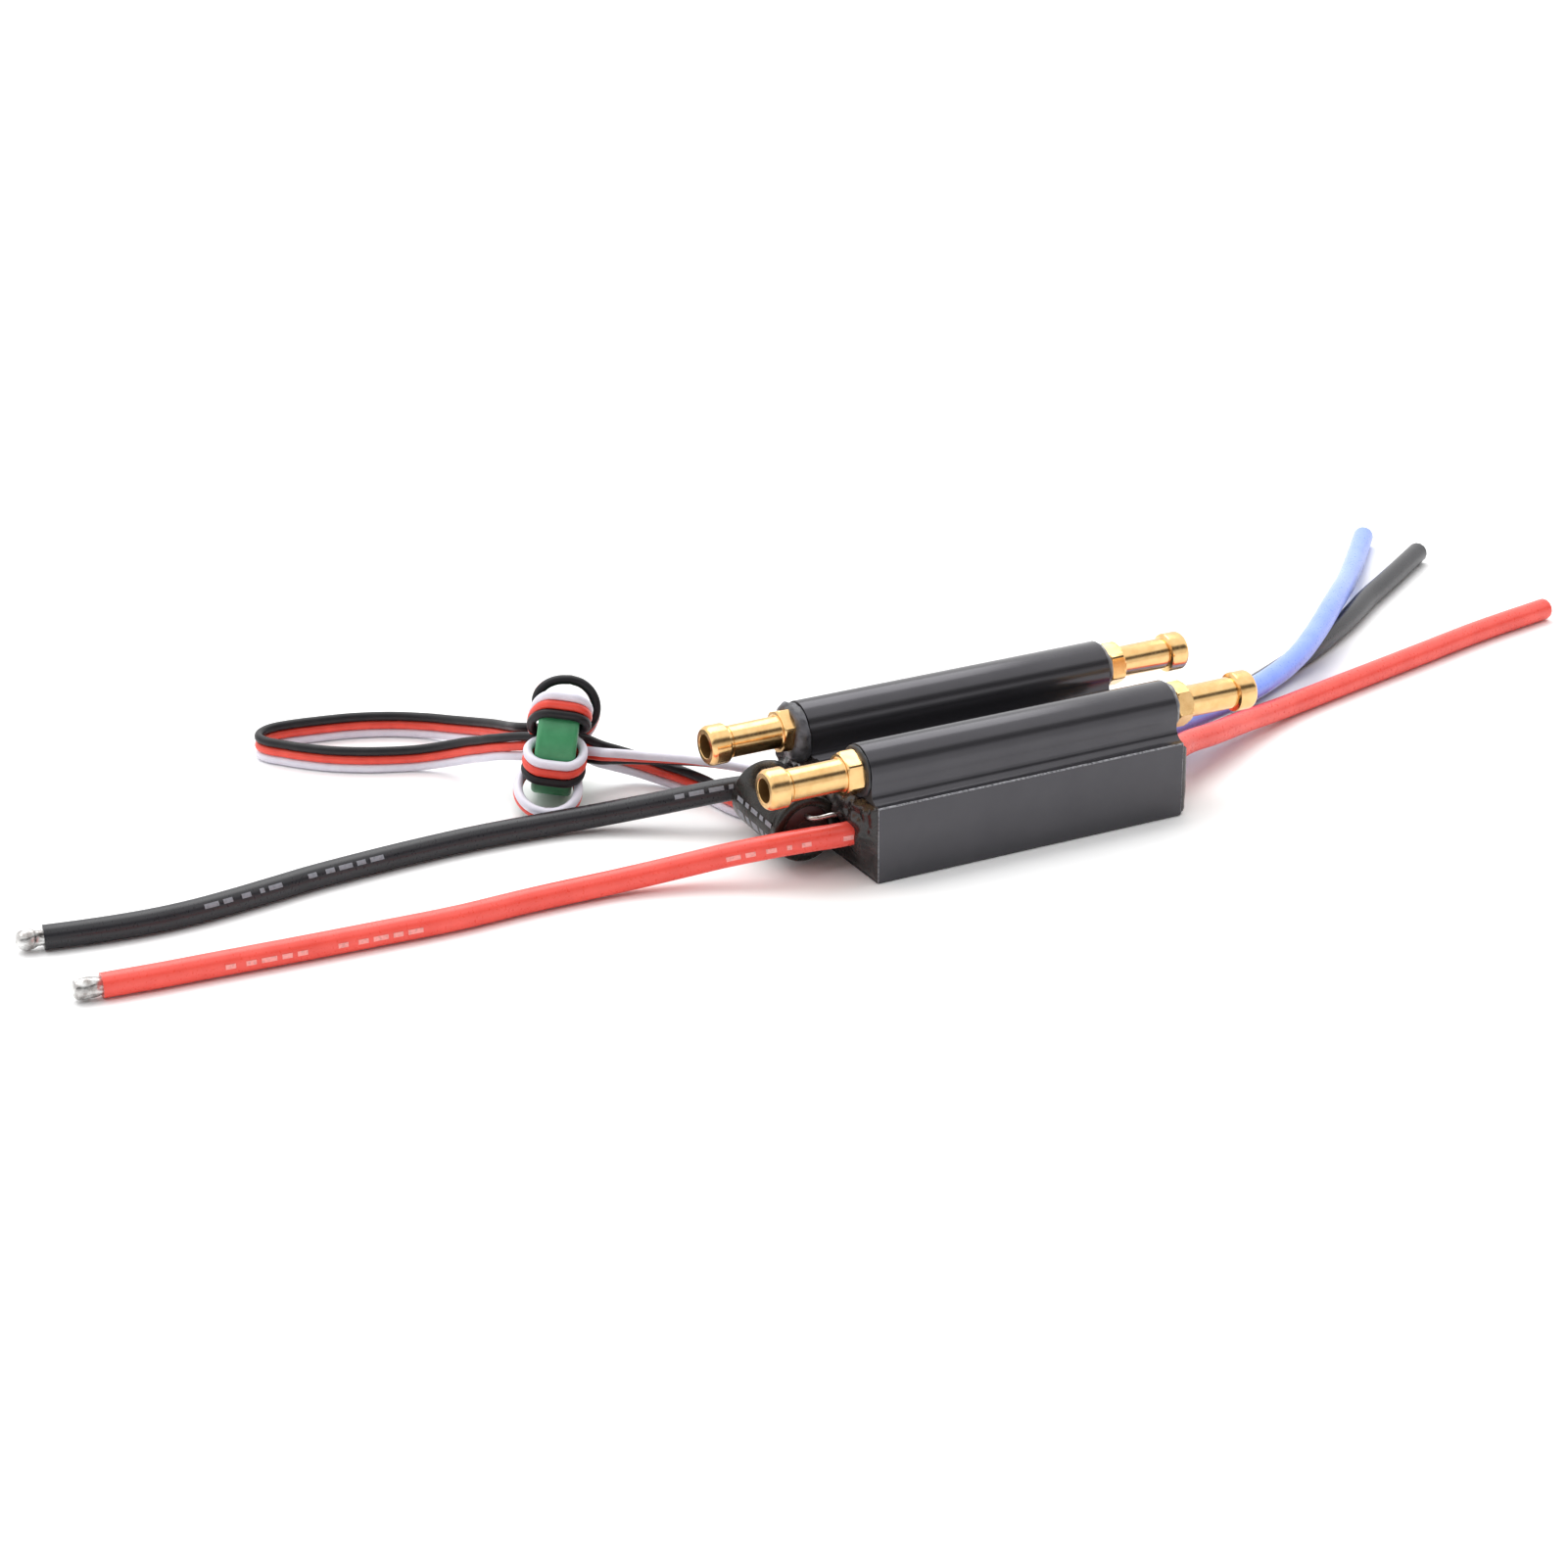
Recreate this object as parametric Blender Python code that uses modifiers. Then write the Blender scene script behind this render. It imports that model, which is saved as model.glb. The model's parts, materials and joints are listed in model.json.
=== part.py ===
"""Water-cooled electronic speed controller for a brushless boat motor, with all its separate pieces.

Metres, +Z up. The origin is the centre of the housing's flat underside, +X runs from the battery end
to the motor end, and the housing stands on the plane z = 0, on which the wires lie too.
"""

import math

import bmesh
import bpy
from mathutils import Matrix, Vector

MM = 0.001
GAP = 0.3 * MM  # left between pieces that touch
ROUND_STEPS = 24
ROUTE_STEPS = 20  # between two points of a wire's route, before they are spaced evenly

# Extruded housing: a box with two water tubes on top.
HOUSING_LENGTH = 43.0 * MM
HOUSING_WIDTH = 25.3 * MM
SIDE_HEIGHT = 9.8 * MM
TUBE_SPACING = 15.46 * MM
TUBE_AXIS_HEIGHT = 12.9 * MM
TUBE_RADIUS = 3.35 * MM
TUBE_BORE_RADIUS = 2.1 * MM
FLARE_HEIGHT = 1.5 * MM  # of the concave flare from the side's top edge up to the tube's wall
FLARE_START = 15.0  # degrees, the flare's first point on its quarter ellipse
FLARE_STEPS = 5
TUBE_STEPS = 16
TUBE_WALL_DIP = 14.0  # degrees below the tube's axis where its round wall begins
CAVITY_WIDTH = 22.2 * MM
CAVITY_FLOOR = 1.3 * MM
CAVITY_TOP = 8.5 * MM
CUTTER_MARGIN = 1.0 * MM

# Turned brass hose nipples, measured from the housing's end face outwards.
NIPPLE_STUB_LENGTH = 5.0 * MM
NIPPLE_STUB_RADIUS = TUBE_BORE_RADIUS - GAP
NIPPLE_HEX_START = 1.0 * MM
NIPPLE_HEX_END = 3.1 * MM
NIPPLE_HEX_ACROSS_FLATS = 5.0 * MM
NIPPLE_BARREL_RADIUS = 2.0 * MM
NIPPLE_BARB_START = 10.0 * MM
NIPPLE_LENGTH = 12.7 * MM
NIPPLE_BARB_RADIUS = 2.5 * MM
NIPPLE_BORE_RADIUS = 1.5 * MM
NIPPLE_CHAMFER = 0.5 * MM
NUT_INNER_RADIUS = 1.7 * MM  # inside the nipple's wall, so that the hexagon joins it

# Sealant bead between each tube end and its nipple.
BEAD_INNER_RADIUS = NIPPLE_STUB_RADIUS + GAP
BEAD_OUTER_RADIUS = 3.2 * MM
BEAD_THICKNESS = NIPPLE_HEX_START - 2 * GAP

# Potting that closes both ends of the cavity.
POTTING_INNER_X = 19.6 * MM
POTTING_FACE_X = 22.0 * MM
POTTING_EDGE = 0.5 * MM
MOUND_REACH = 1.7 * MM  # how far the sealing mound stands off the battery end
MOUND_WIDTH = 17.0 * MM
MOUND_BOTTOM = 6.6 * MM
MOUND_TOP = 9.4 * MM

# Electrolytic capacitor lying across the battery end.
CAPACITOR_X = -26.6 * MM
CAPACITOR_NEAR_Y = -4.3 * MM
CAPACITOR_HEIGHT = 5.0 * MM
CAPACITOR_TILT = math.radians(3.0)
CAPACITOR_LENGTH = 11.8 * MM
SLEEVE_RADIUS = 4.3 * MM
SLEEVE_INNER_RADIUS = 4.0 * MM
CAN_RADIUS = SLEEVE_INNER_RADIUS - GAP
CAN_WALL = 0.35 * MM
SLEEVE_LIP_RADIUS = 2.9 * MM
BUNG_RADIUS = 2.6 * MM
BUNG_DEPTH = 2.0 * MM
LEAD_RADIUS = 0.3 * MM
LEAD_PITCH = 3.5 * MM
LEAD_REACH = 1.1 * MM
LEAD_BEND = 0.35 * MM
LEAD_POINT_SPACING = 0.6 * MM

# Circuit boards and their parts, from the top of the cavity down.
BOARD_LENGTH = 37.6 * MM
BOARD_WIDTH = 20.6 * MM
THERMAL_PAD_SIZE = (37.0 * MM, 17.0 * MM, 0.8 * MM)
POWER_BOARD_THICKNESS = 1.2 * MM
CONTROL_BOARD_THICKNESS = 0.8 * MM
MOSFET_SIZE = (5.0 * MM, 6.0 * MM, 1.0 * MM)
MOSFET_COLUMNS = 6
MOSFET_PITCH_X = 6.0 * MM
MOSFET_OFFSET_Y = 4.2 * MM
DRIVER_SIZE = (3.9 * MM, 3.9 * MM, 0.8 * MM)
DRIVER_XS = (-2.0 * MM, 5.0 * MM, 12.0 * MM)
MICROCONTROLLER_SIZE = (5.0 * MM, 5.0 * MM, 0.8 * MM)
MICROCONTROLLER_X = -8.5 * MM
REGULATOR_SIZE = (4.4 * MM, 6.2 * MM, 0.8 * MM)
REGULATOR_X = -15.2 * MM
HEADER_SIZE = (15.0 * MM, 2.0 * MM, 0.8 * MM)
HEADER_X = 3.0 * MM
HEADER_OFFSET_Y = 7.0 * MM

# Power wires: silicone insulation over stranded copper.
WIRE_RADIUS = 1.5 * MM
TIP_RADIUS = 1.0 * MM
TIP_LENGTH = 3.4 * MM
WIRE_POINT_SPACING = 6.5 * MM
BATTERY_WIRE_RED = (
    (-22.4, -8.0, 5.2), (-24.8, -7.9, 5.2), (-28.2, -6.9, 4.95), (-32.6, -5.6, 4.5), (-37.0, -3.8, 3.7),
    (-41.5, -2.2, 2.8), (-46.2, -1.0, 2.1), (-51.0, -0.2, 1.65), (-60.7, 0.1, 1.5), (-70.8, -0.3, 1.5),
    (-80.4, 0.1, 1.5), (-89.8, 0.6, 1.5), (-98.9, 1.2, 1.5), (-105.7, 1.6, 1.5), (-112.4, 2.2, 1.5),
)
BATTERY_WIRE_BLACK = (
    (-22.4, 9.2, 5.4), (-25.2, 9.5, 5.4), (-29.3, 11.0, 5.05), (-32.5, 12.3, 4.5), (-36.2, 14.1, 3.65),
    (-40.5, 16.1, 2.75), (-44.9, 17.9, 2.0), (-49.7, 19.1, 1.6), (-59.8, 19.8, 1.5), (-70.2, 19.4, 1.5),
    (-80.5, 18.4, 1.5), (-85.8, 17.5, 1.5), (-91.0, 16.6, 1.5), (-96.2, 15.9, 1.5), (-101.0, 15.7, 1.5),
    (-105.6, 16.0, 1.5), (-110.0, 16.6, 1.5), (-114.4, 17.4, 1.5),
)
MOTOR_WIRE_RED = (
    (22.5, -5.2, 5.2), (24.9, -5.0, 5.15), (29.0, -2.5, 4.75), (34.7, 0.0, 3.95), (41.9, 3.6, 2.9),
    (48.7, 6.6, 2.0), (54.9, 8.8, 1.6), (66.8, 12.1, 1.5), (79.0, 15.3, 1.5), (91.6, 18.6, 1.5),
    (105.3, 21.4, 1.5),
)
MOTOR_WIRE_BLUE = (
    (22.5, 0.0, 5.2), (26.2, 0.4, 5.2), (31.5, 2.7, 5.1), (35.9, 4.4, 5.0), (41.4, 6.5, 4.85),
    (47.8, 9.3, 4.7), (54.4, 13.0, 4.6), (59.7, 16.7, 4.6), (64.3, 20.5, 4.65), (69.0, 24.7, 4.7),
    (73.5, 29.0, 4.65), (78.8, 34.4, 4.0), (84.5, 40.4, 2.9), (90.4, 46.9, 2.1), (96.0, 53.2, 1.6),
    (101.2, 59.0, 1.5),
)
MOTOR_WIRE_BLACK = (
    (22.5, 5.2, 5.2), (26.2, 5.6, 5.1), (32.0, 7.4, 4.3), (39.0, 9.8, 3.3), (45.8, 12.7, 2.4),
    (51.7, 15.7, 1.8), (57.0, 18.6, 1.55), (62.2, 21.4, 1.5), (67.2, 24.1, 1.5), (74.4, 28.6, 1.5),
    (79.9, 32.4, 1.5), (85.5, 36.6, 1.5), (90.8, 40.2, 1.5), (95.9, 43.7, 1.5), (104.0, 49.3, 1.5),
)

# Signal lead: a flat ribbon of three cores that stands on its edge.
CORE_PITCH = 1.15 * MM
CORE_RADIUS = 0.6 * MM
RIBBON_POINT_SPACING = 3.4 * MM
SIGNAL_LEAD_TO_FERRITE = (
    (-22.4, 9.2, 1.8), (-24.2, 9.4, 1.8), (-25.9, 11.0, 1.8), (-27.2, 13.6, 1.8), (-27.9, 16.6, 1.78),
    (-28.5, 19.8, 1.78), (-29.6, 23.4, 1.78), (-31.3, 26.6, 2.0), (-33.4, 28.9, 2.6), (-35.8, 29.9, 3.5),
    (-38.4, 30.0, 4.7),
)
SIGNAL_LEAD_LOOP = (
    (-46.2, 36.0, 6.4), (-46.3, 39.6, 5.3), (-46.6, 43.3, 4.35), (-47.5, 47.6, 3.25), (-49.0, 51.9, 2.3),
    (-51.2, 55.3, 1.85), (-55.0, 58.1, 1.78), (-59.6, 60.1, 1.78), (-64.4, 61.2, 1.78), (-67.6, 61.7, 1.78),
    (-70.2, 61.7, 1.78), (-72.0, 60.8, 1.78), (-72.8, 59.2, 1.78), (-72.3, 57.5, 1.78), (-71.1, 56.0, 1.78),
    (-69.2, 53.7, 1.78), (-66.0, 50.7, 1.78), (-61.8, 48.1, 1.78), (-57.6, 46.3, 1.78), (-55.2, 44.9, 2.1),
    (-53.1, 42.9, 2.85), (-51.7, 40.5, 3.85), (-50.7, 38.0, 4.8), (-49.6, 35.6, 5.7),
)
SIGNAL_LEAD_TO_PLUG = (
    (-39.6, 25.6, 6.1), (-37.3, 25.3, 5.7), (-34.9, 24.8, 5.3), (-32.2, 23.5, 5.1), (-29.5, 21.6, 5.05),
    (-26.8, 19.9, 4.75), (-24.0, 18.5, 4.1), (-20.6, 17.5, 2.9), (-16.6, 17.2, 1.7), (-12.6, 17.6, 1.35),
    (-8.4, 17.8, 1.35),
)

# Ferrite ring that the signal lead is wound on. It stands on its rim and leans a little.
FERRITE_CENTRE = Vector((-43.6, 30.65, 6.7)) * MM
FERRITE_HEADING = math.radians(-27.6)
FERRITE_LEAN = math.radians(8.0)
FERRITE_OUTER_RADIUS = 6.35 * MM
FERRITE_INNER_RADIUS = 3.5 * MM
FERRITE_WIDTH = 5.1 * MM
FERRITE_EDGE = 0.5 * MM
FERRITE_STEPS = 32
WINDING_THICKNESS = 1.2 * MM
UPPER_WINDING_ARC = (48.0, 112.0)  # degrees round the ring and up, from its level front
LOWER_WINDING_ARC = (-50.0, 12.0)
WEDGE_REACH = 20.0 * MM
WEDGE_STEPS = 4

# Servo plug on the signal lead's free end.
PLUG_SIZE = Vector((14.0, 7.7, 2.7)) * MM
PLUG_CENTRE = Vector((-1.0, 17.8, 1.35)) * MM
PLUG_PITCH = 2.54 * MM
PLUG_SLOT = Vector((12.0, 1.7, 1.5)) * MM
CONTACT_SIZE = Vector((9.0, 1.1, 0.9)) * MM

ESC_NAME = "electronic_speed_controller"


def clear_scene():
    for obj in list(bpy.data.objects):
        bpy.data.objects.remove(obj, do_unlink=True)


def new_collection(name):
    collection = bpy.data.collections.new(name)
    bpy.context.scene.collection.children.link(collection)
    return collection


def make_material(name, colour, roughness, metallic=0.0):
    material = bpy.data.materials.new(name)
    material.use_nodes = True
    shader = material.node_tree.nodes["Principled BSDF"]
    shader.inputs["Base Color"].default_value = (*colour, 1.0)
    shader.inputs["Roughness"].default_value = roughness
    shader.inputs["Metallic"].default_value = metallic
    return material


def add_object(name, data, material, collection=None):
    obj = bpy.data.objects.new(name, data)
    (collection or PARTS).objects.link(obj)
    if material:
        data.materials.append(material)
    return obj


def as_cutter(obj):
    obj.hide_render = True
    obj.display_type = "WIRE"
    return obj


def add_cutter(name, mesh):
    return as_cutter(add_object(name, mesh, None, CUTTERS))


def boolean(obj, other, operation):
    modifier = obj.modifiers.new(f"{operation.lower()} {other.name}", "BOOLEAN")
    modifier.operation = operation
    modifier.solver = "EXACT"
    modifier.object = other


def box_mesh(name, size):
    mesh = bpy.data.meshes.new(name)
    bm = bmesh.new()
    bmesh.ops.create_cube(bm, size=1.0)
    bmesh.ops.scale(bm, vec=size, verts=bm.verts)
    bm.to_mesh(mesh)
    bm.free()
    return mesh


def add_box(name, size, centre, material, edge=0.0):
    obj = add_object(name, box_mesh(name, size), material)
    obj.location = centre
    if edge:
        bevel = obj.modifiers.new("edges", "BEVEL")
        bevel.width = edge
        bevel.segments = 2
    return obj


def cylinder_mesh(name, radius, length, steps=ROUND_STEPS):
    """A cylinder along X, centred on the origin."""
    mesh = bpy.data.meshes.new(name)
    bm = bmesh.new()
    bmesh.ops.create_cone(
        bm, cap_ends=True, segments=steps, radius1=radius, radius2=radius, depth=length,
        matrix=Matrix.Rotation(math.radians(90.0), 4, "Y"),
    )
    bm.to_mesh(mesh)
    bm.free()
    return mesh


def turned(name, profile, material, steps=ROUND_STEPS, collection=None):
    """A closed profile of (radius, height), turned about Z. It runs down the outside and up the inside."""
    mesh = bpy.data.meshes.new(name)
    points = [(radius, 0.0, height) for radius, height in profile]
    edges = [(i, (i + 1) % len(points)) for i in range(len(points))]
    mesh.from_pydata(points, edges, [])
    obj = add_object(name, mesh, material, collection)
    screw = obj.modifiers.new("turn", "SCREW")
    screw.steps = steps
    screw.render_steps = steps
    screw.use_merge_vertices = True
    screw.merge_threshold = 0.00001
    screw.use_smooth_shade = True
    return obj


def baked(obj):
    """Applies an object's modifiers, or makes a mesh object of a curve with its caps welded on."""
    graph = bpy.context.evaluated_depsgraph_get()
    mesh = bpy.data.meshes.new_from_object(obj.evaluated_get(graph))
    bm = bmesh.new()
    bm.from_mesh(mesh)
    bmesh.ops.remove_doubles(bm, verts=bm.verts, dist=0.000001)
    bmesh.ops.recalc_face_normals(bm, faces=bm.faces)
    bm.to_mesh(mesh)
    bm.free()
    home = obj.users_collection[0]
    name = obj.name
    place = obj.matrix_world.copy()
    bpy.data.objects.remove(obj, do_unlink=True)
    made = bpy.data.objects.new(name, mesh)
    home.objects.link(made)
    made.matrix_world = place
    return made


def arc(centre, radius, start, end, count):
    """Points of an arc from start to end, in degrees."""
    points = []
    for i in range(count + 1):
        angle = math.radians(start + (end - start) * i / count)
        points.append((centre[0] + radius * math.cos(angle), centre[1] + radius * math.sin(angle)))
    return points


def outline_solid(name, points, thickness, material, collection=None):
    """A flat closed outline, extruded to half the thickness each way from its own plane."""
    curve = bpy.data.curves.new(name, "CURVE")
    curve.dimensions = "2D"
    curve.fill_mode = "BOTH"
    curve.extrude = thickness / 2
    spline = curve.splines.new("POLY")
    spline.points.add(len(points) - 1)
    for point, (across, up) in zip(spline.points, points):
        point.co = (across, up, 0.0, 1.0)
    spline.use_cyclic_u = True
    return add_object(name, curve, material, collection)


def in_metres(route):
    return [Vector(point) * MM for point in route]


def smooth_route(route, spacing):
    """Evenly spaced points on a Catmull-Rom curve through the route's points."""
    knots = [2 * route[0] - route[1], *route, 2 * route[-1] - route[-2]]
    fine = []
    for a, b, c, d in zip(knots, knots[1:], knots[2:], knots[3:]):
        for i in range(ROUTE_STEPS):
            t = i / ROUTE_STEPS
            square = 2 * a - 5 * b + 4 * c - d
            cube = 3 * b - a - 3 * c + d
            fine.append((2 * b + (c - a) * t + square * t**2 + cube * t**3) / 2)
    fine.append(route[-1])
    total = sum((q - p).length for p, q in zip(fine, fine[1:]))
    count = max(1, round(total / spacing))
    points = [fine[0]]
    walked = 0.0
    for p, q in zip(fine, fine[1:]):
        walked += (q - p).length
        if len(points) < count and walked >= total * len(points) / count:
            points.append(q)
    points.append(fine[-1])
    return points


def add_tube(name, points, radius, material, ribbon_half_width=0.0, tilt=0.0):
    """A cord as a bevelled curve through the points. A ribbon also has a half width, upright at tilt 0."""
    curve = bpy.data.curves.new(name, "CURVE")
    curve.dimensions = "3D"
    curve.twist_mode = "Z_UP"
    curve.bevel_depth = radius
    curve.bevel_resolution = 2
    curve.extrude = ribbon_half_width
    curve.use_fill_caps = True
    spline = curve.splines.new("POLY")
    spline.points.add(len(points) - 1)
    for place, point in zip(spline.points, points):
        place.co = (*point, 1.0)
        place.tilt = tilt
    return add_object(name, curve, material)


def housing_outline():
    """The extrusion's cross-section, as (y, z) points anticlockwise from the lower right corner."""
    half = HOUSING_WIDTH / 2
    tube_y = TUBE_SPACING / 2
    flare_top = SIDE_HEIGHT + FLARE_HEIGHT
    wall_reach = TUBE_RADIUS * math.cos(math.radians(TUBE_WALL_DIP))
    flare_width = half - tube_y - wall_reach
    valley_edge = tube_y - wall_reach - FLARE_HEIGHT
    right = [(half, 0.0), (half, SIDE_HEIGHT)]
    for y, z in arc((0.0, 0.0), 1.0, 90.0 - FLARE_START, FLARE_START, FLARE_STEPS - 1):
        right.append((half - flare_width * y, flare_top - FLARE_HEIGHT * z))
    right += arc((tube_y, TUBE_AXIS_HEIGHT), TUBE_RADIUS, -TUBE_WALL_DIP, 180.0 + TUBE_WALL_DIP, TUBE_STEPS)
    for y, z in arc((0.0, 0.0), 1.0, FLARE_START, 90.0, FLARE_STEPS):
        right.append((valley_edge + FLARE_HEIGHT * y, flare_top - FLARE_HEIGHT * z))
    left = [(-y, z) for y, z in reversed(right)]
    return right + left


def make_housing(material):
    profile = outline_solid("housing", housing_outline(), HOUSING_LENGTH, material)
    # The outline's own X and Y become the housing's Y and Z, and its thickness runs along X.
    profile.matrix_world = Matrix(((0, 0, 1, 0), (1, 0, 0, 0), (0, 1, 0, 0), (0, 0, 0, 1)))
    bpy.context.view_layer.update()
    housing = baked(profile)
    long = HOUSING_LENGTH + 2 * CUTTER_MARGIN
    cavity_size = (long, CAVITY_WIDTH, CAVITY_TOP - CAVITY_FLOOR)
    cavity = add_cutter("cavity_cutter", box_mesh("cavity_cutter", cavity_size))
    cavity.location = (0.0, 0.0, (CAVITY_TOP + CAVITY_FLOOR) / 2)
    boolean(housing, cavity, "DIFFERENCE")
    for side in (-1, 1):
        bore = add_cutter(f"tube_bore_cutter_{side}", cylinder_mesh("tube_bore", TUBE_BORE_RADIUS, long))
        bore.location = (0.0, side * TUBE_SPACING / 2, TUBE_AXIS_HEIGHT)
        boolean(housing, bore, "DIFFERENCE")
    return housing


def nipple_places():
    """Each nipple's name ending, the end it is on and the side it is on."""
    for end, end_name in ((-1, "battery_end"), (1, "motor_end")):
        for side, side_name in ((-1, "right"), (1, "left")):
            yield f"{end_name}_{side_name}", end, side


def end_frame(end, side):
    """Places a piece turned about Z on a tube's axis, its Z pointing out of that end of the housing."""
    turn = Matrix.Rotation(math.radians(90.0 * end), 4, "Y")
    place = Matrix.Translation((end * HOUSING_LENGTH / 2, side * TUBE_SPACING / 2, TUBE_AXIS_HEIGHT))
    return place @ turn


def make_nipples(material):
    profile = (
        (NIPPLE_BARB_RADIUS - NIPPLE_CHAMFER, NIPPLE_LENGTH),
        (NIPPLE_BARB_RADIUS, NIPPLE_LENGTH - NIPPLE_CHAMFER),
        (NIPPLE_BARB_RADIUS, NIPPLE_BARB_START),
        (NIPPLE_BARREL_RADIUS, NIPPLE_BARB_START - NIPPLE_CHAMFER / 2),
        (NIPPLE_BARREL_RADIUS, NIPPLE_HEX_START),
        (NIPPLE_STUB_RADIUS, NIPPLE_HEX_START),
        (NIPPLE_STUB_RADIUS, -NIPPLE_STUB_LENGTH),
        (NIPPLE_BORE_RADIUS, -NIPPLE_STUB_LENGTH),
        (NIPPLE_BORE_RADIUS, NIPPLE_LENGTH),
    )
    hex_corner = NIPPLE_HEX_ACROSS_FLATS / 2 / math.cos(math.radians(30.0))
    for ending, end, side in nipple_places():
        body = turned(f"nipple_{ending}", profile, material)
        nut = as_cutter(turned(f"nut_{ending}", (
            (hex_corner, NIPPLE_HEX_END),
            (hex_corner, NIPPLE_HEX_START),
            (NUT_INNER_RADIUS, NIPPLE_HEX_START),
            (NUT_INNER_RADIUS, NIPPLE_HEX_END),
        ), None, 6, CUTTERS))
        for piece in (body, nut):
            piece.matrix_world = end_frame(end, side)
        boolean(body, nut, "UNION")


def make_sealant_beads(material):
    middle = BEAD_THICKNESS / 2
    for ending, end, side in nipple_places():
        bead = turned(f"sealant_{ending}", (
            (BEAD_OUTER_RADIUS - middle / 2, GAP + BEAD_THICKNESS),
            (BEAD_OUTER_RADIUS, GAP + middle),
            (BEAD_OUTER_RADIUS - middle / 2, GAP),
            (BEAD_INNER_RADIUS, GAP),
            (BEAD_INNER_RADIUS, GAP + BEAD_THICKNESS),
        ), material)
        bead.matrix_world = end_frame(end, side)


def capacitor_frame():
    """The capacitor's axis is Z here, from its leads at the near end to its closed far end."""
    lie_down = Matrix.Rotation(math.radians(-90.0) + CAPACITOR_TILT, 4, "X")
    return Matrix.Translation((CAPACITOR_X, CAPACITOR_NEAR_Y, CAPACITOR_HEIGHT)) @ lie_down


def make_potting(material):
    length = POTTING_FACE_X - POTTING_INNER_X
    size = (length, CAVITY_WIDTH - 2 * GAP, CAVITY_TOP - CAVITY_FLOOR - 2 * GAP)
    height = (CAVITY_TOP + CAVITY_FLOOR) / 2
    middle = POTTING_INNER_X + length / 2
    add_box("motor_end_potting", size, (middle, 0.0, height), material, POTTING_EDGE)
    plug = add_box("battery_end_potting", size, (-middle, 0.0, height), material, POTTING_EDGE)
    mound = add_cutter("mound", box_mesh("mound", (MOUND_REACH, MOUND_WIDTH, MOUND_TOP - MOUND_BOTTOM)))
    mound_face = HOUSING_LENGTH / 2 + GAP
    mound.location = (-mound_face - MOUND_REACH / 2, 0.0, (MOUND_TOP + MOUND_BOTTOM) / 2)
    bevel = mound.modifiers.new("edges", "BEVEL")
    bevel.width = POTTING_EDGE
    bevel.segments = 2
    clearance = as_cutter(turned("capacitor_cutter", (
        (SLEEVE_RADIUS + GAP, CAPACITOR_LENGTH + GAP),
        (SLEEVE_RADIUS + GAP, -GAP),
        (0.0, -GAP),
        (0.0, CAPACITOR_LENGTH + GAP),
    ), None, ROUND_STEPS, CUTTERS))
    clearance.matrix_world = capacitor_frame()
    boolean(plug, mound, "UNION")
    boolean(plug, clearance, "DIFFERENCE")


def make_capacitor(sleeve_material, can_material, bung_material, lead_material):
    frame = capacitor_frame()
    length = CAPACITOR_LENGTH
    lip = SLEEVE_RADIUS - SLEEVE_INNER_RADIUS
    sleeve = turned("capacitor_sleeve", (
        (SLEEVE_LIP_RADIUS, length),
        (SLEEVE_RADIUS - lip, length),
        (SLEEVE_RADIUS, length - lip),
        (SLEEVE_RADIUS, lip),
        (SLEEVE_RADIUS - lip, 0.0),
        (SLEEVE_LIP_RADIUS, 0.0),
        (SLEEVE_LIP_RADIUS, lip),
        (SLEEVE_INNER_RADIUS, lip),
        (SLEEVE_INNER_RADIUS, length - lip),
        (SLEEVE_LIP_RADIUS, length - lip),
    ), sleeve_material)
    can_near = lip + GAP
    can_far = length - lip - GAP
    can = turned("capacitor_can", (
        (0.0, can_far),
        (CAN_RADIUS, can_far),
        (CAN_RADIUS, can_near),
        (CAN_RADIUS - CAN_WALL, can_near),
        (CAN_RADIUS - CAN_WALL, can_far - CAN_WALL),
        (0.0, can_far - CAN_WALL),
    ), can_material)
    bung = turned("capacitor_bung", (
        (0.0, can_near + BUNG_DEPTH),
        (BUNG_RADIUS, can_near + BUNG_DEPTH),
        (BUNG_RADIUS, can_near - GAP),
        (0.0, can_near - GAP),
    ), bung_material)
    for piece in (sleeve, can, bung):
        piece.matrix_world = frame
    turn_y = CAPACITOR_NEAR_Y - LEAD_REACH
    start_y = CAPACITOR_NEAR_Y + can_near - 3 * GAP
    mound_face_x = -HOUSING_LENGTH / 2 - GAP - MOUND_REACH
    leads = (
        ("positive", LEAD_PITCH / 2, mound_face_x - GAP),
        ("negative", -LEAD_PITCH / 2, -POTTING_FACE_X - GAP),
    )
    for name, offset, end_x in leads:
        height = CAPACITOR_HEIGHT + offset
        route = [
            Vector((CAPACITOR_X, start_y, height)),
            Vector((CAPACITOR_X, turn_y + 2 * LEAD_BEND, height)),
            Vector((CAPACITOR_X + LEAD_BEND, turn_y + LEAD_BEND / 2, height)),
            Vector((CAPACITOR_X + 3 * LEAD_BEND, turn_y, height)),
            Vector((end_x, turn_y, height)),
        ]
        points = smooth_route(route, LEAD_POINT_SPACING)
        add_tube(f"capacitor_lead_{name}", points, LEAD_RADIUS, lead_material)


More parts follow.
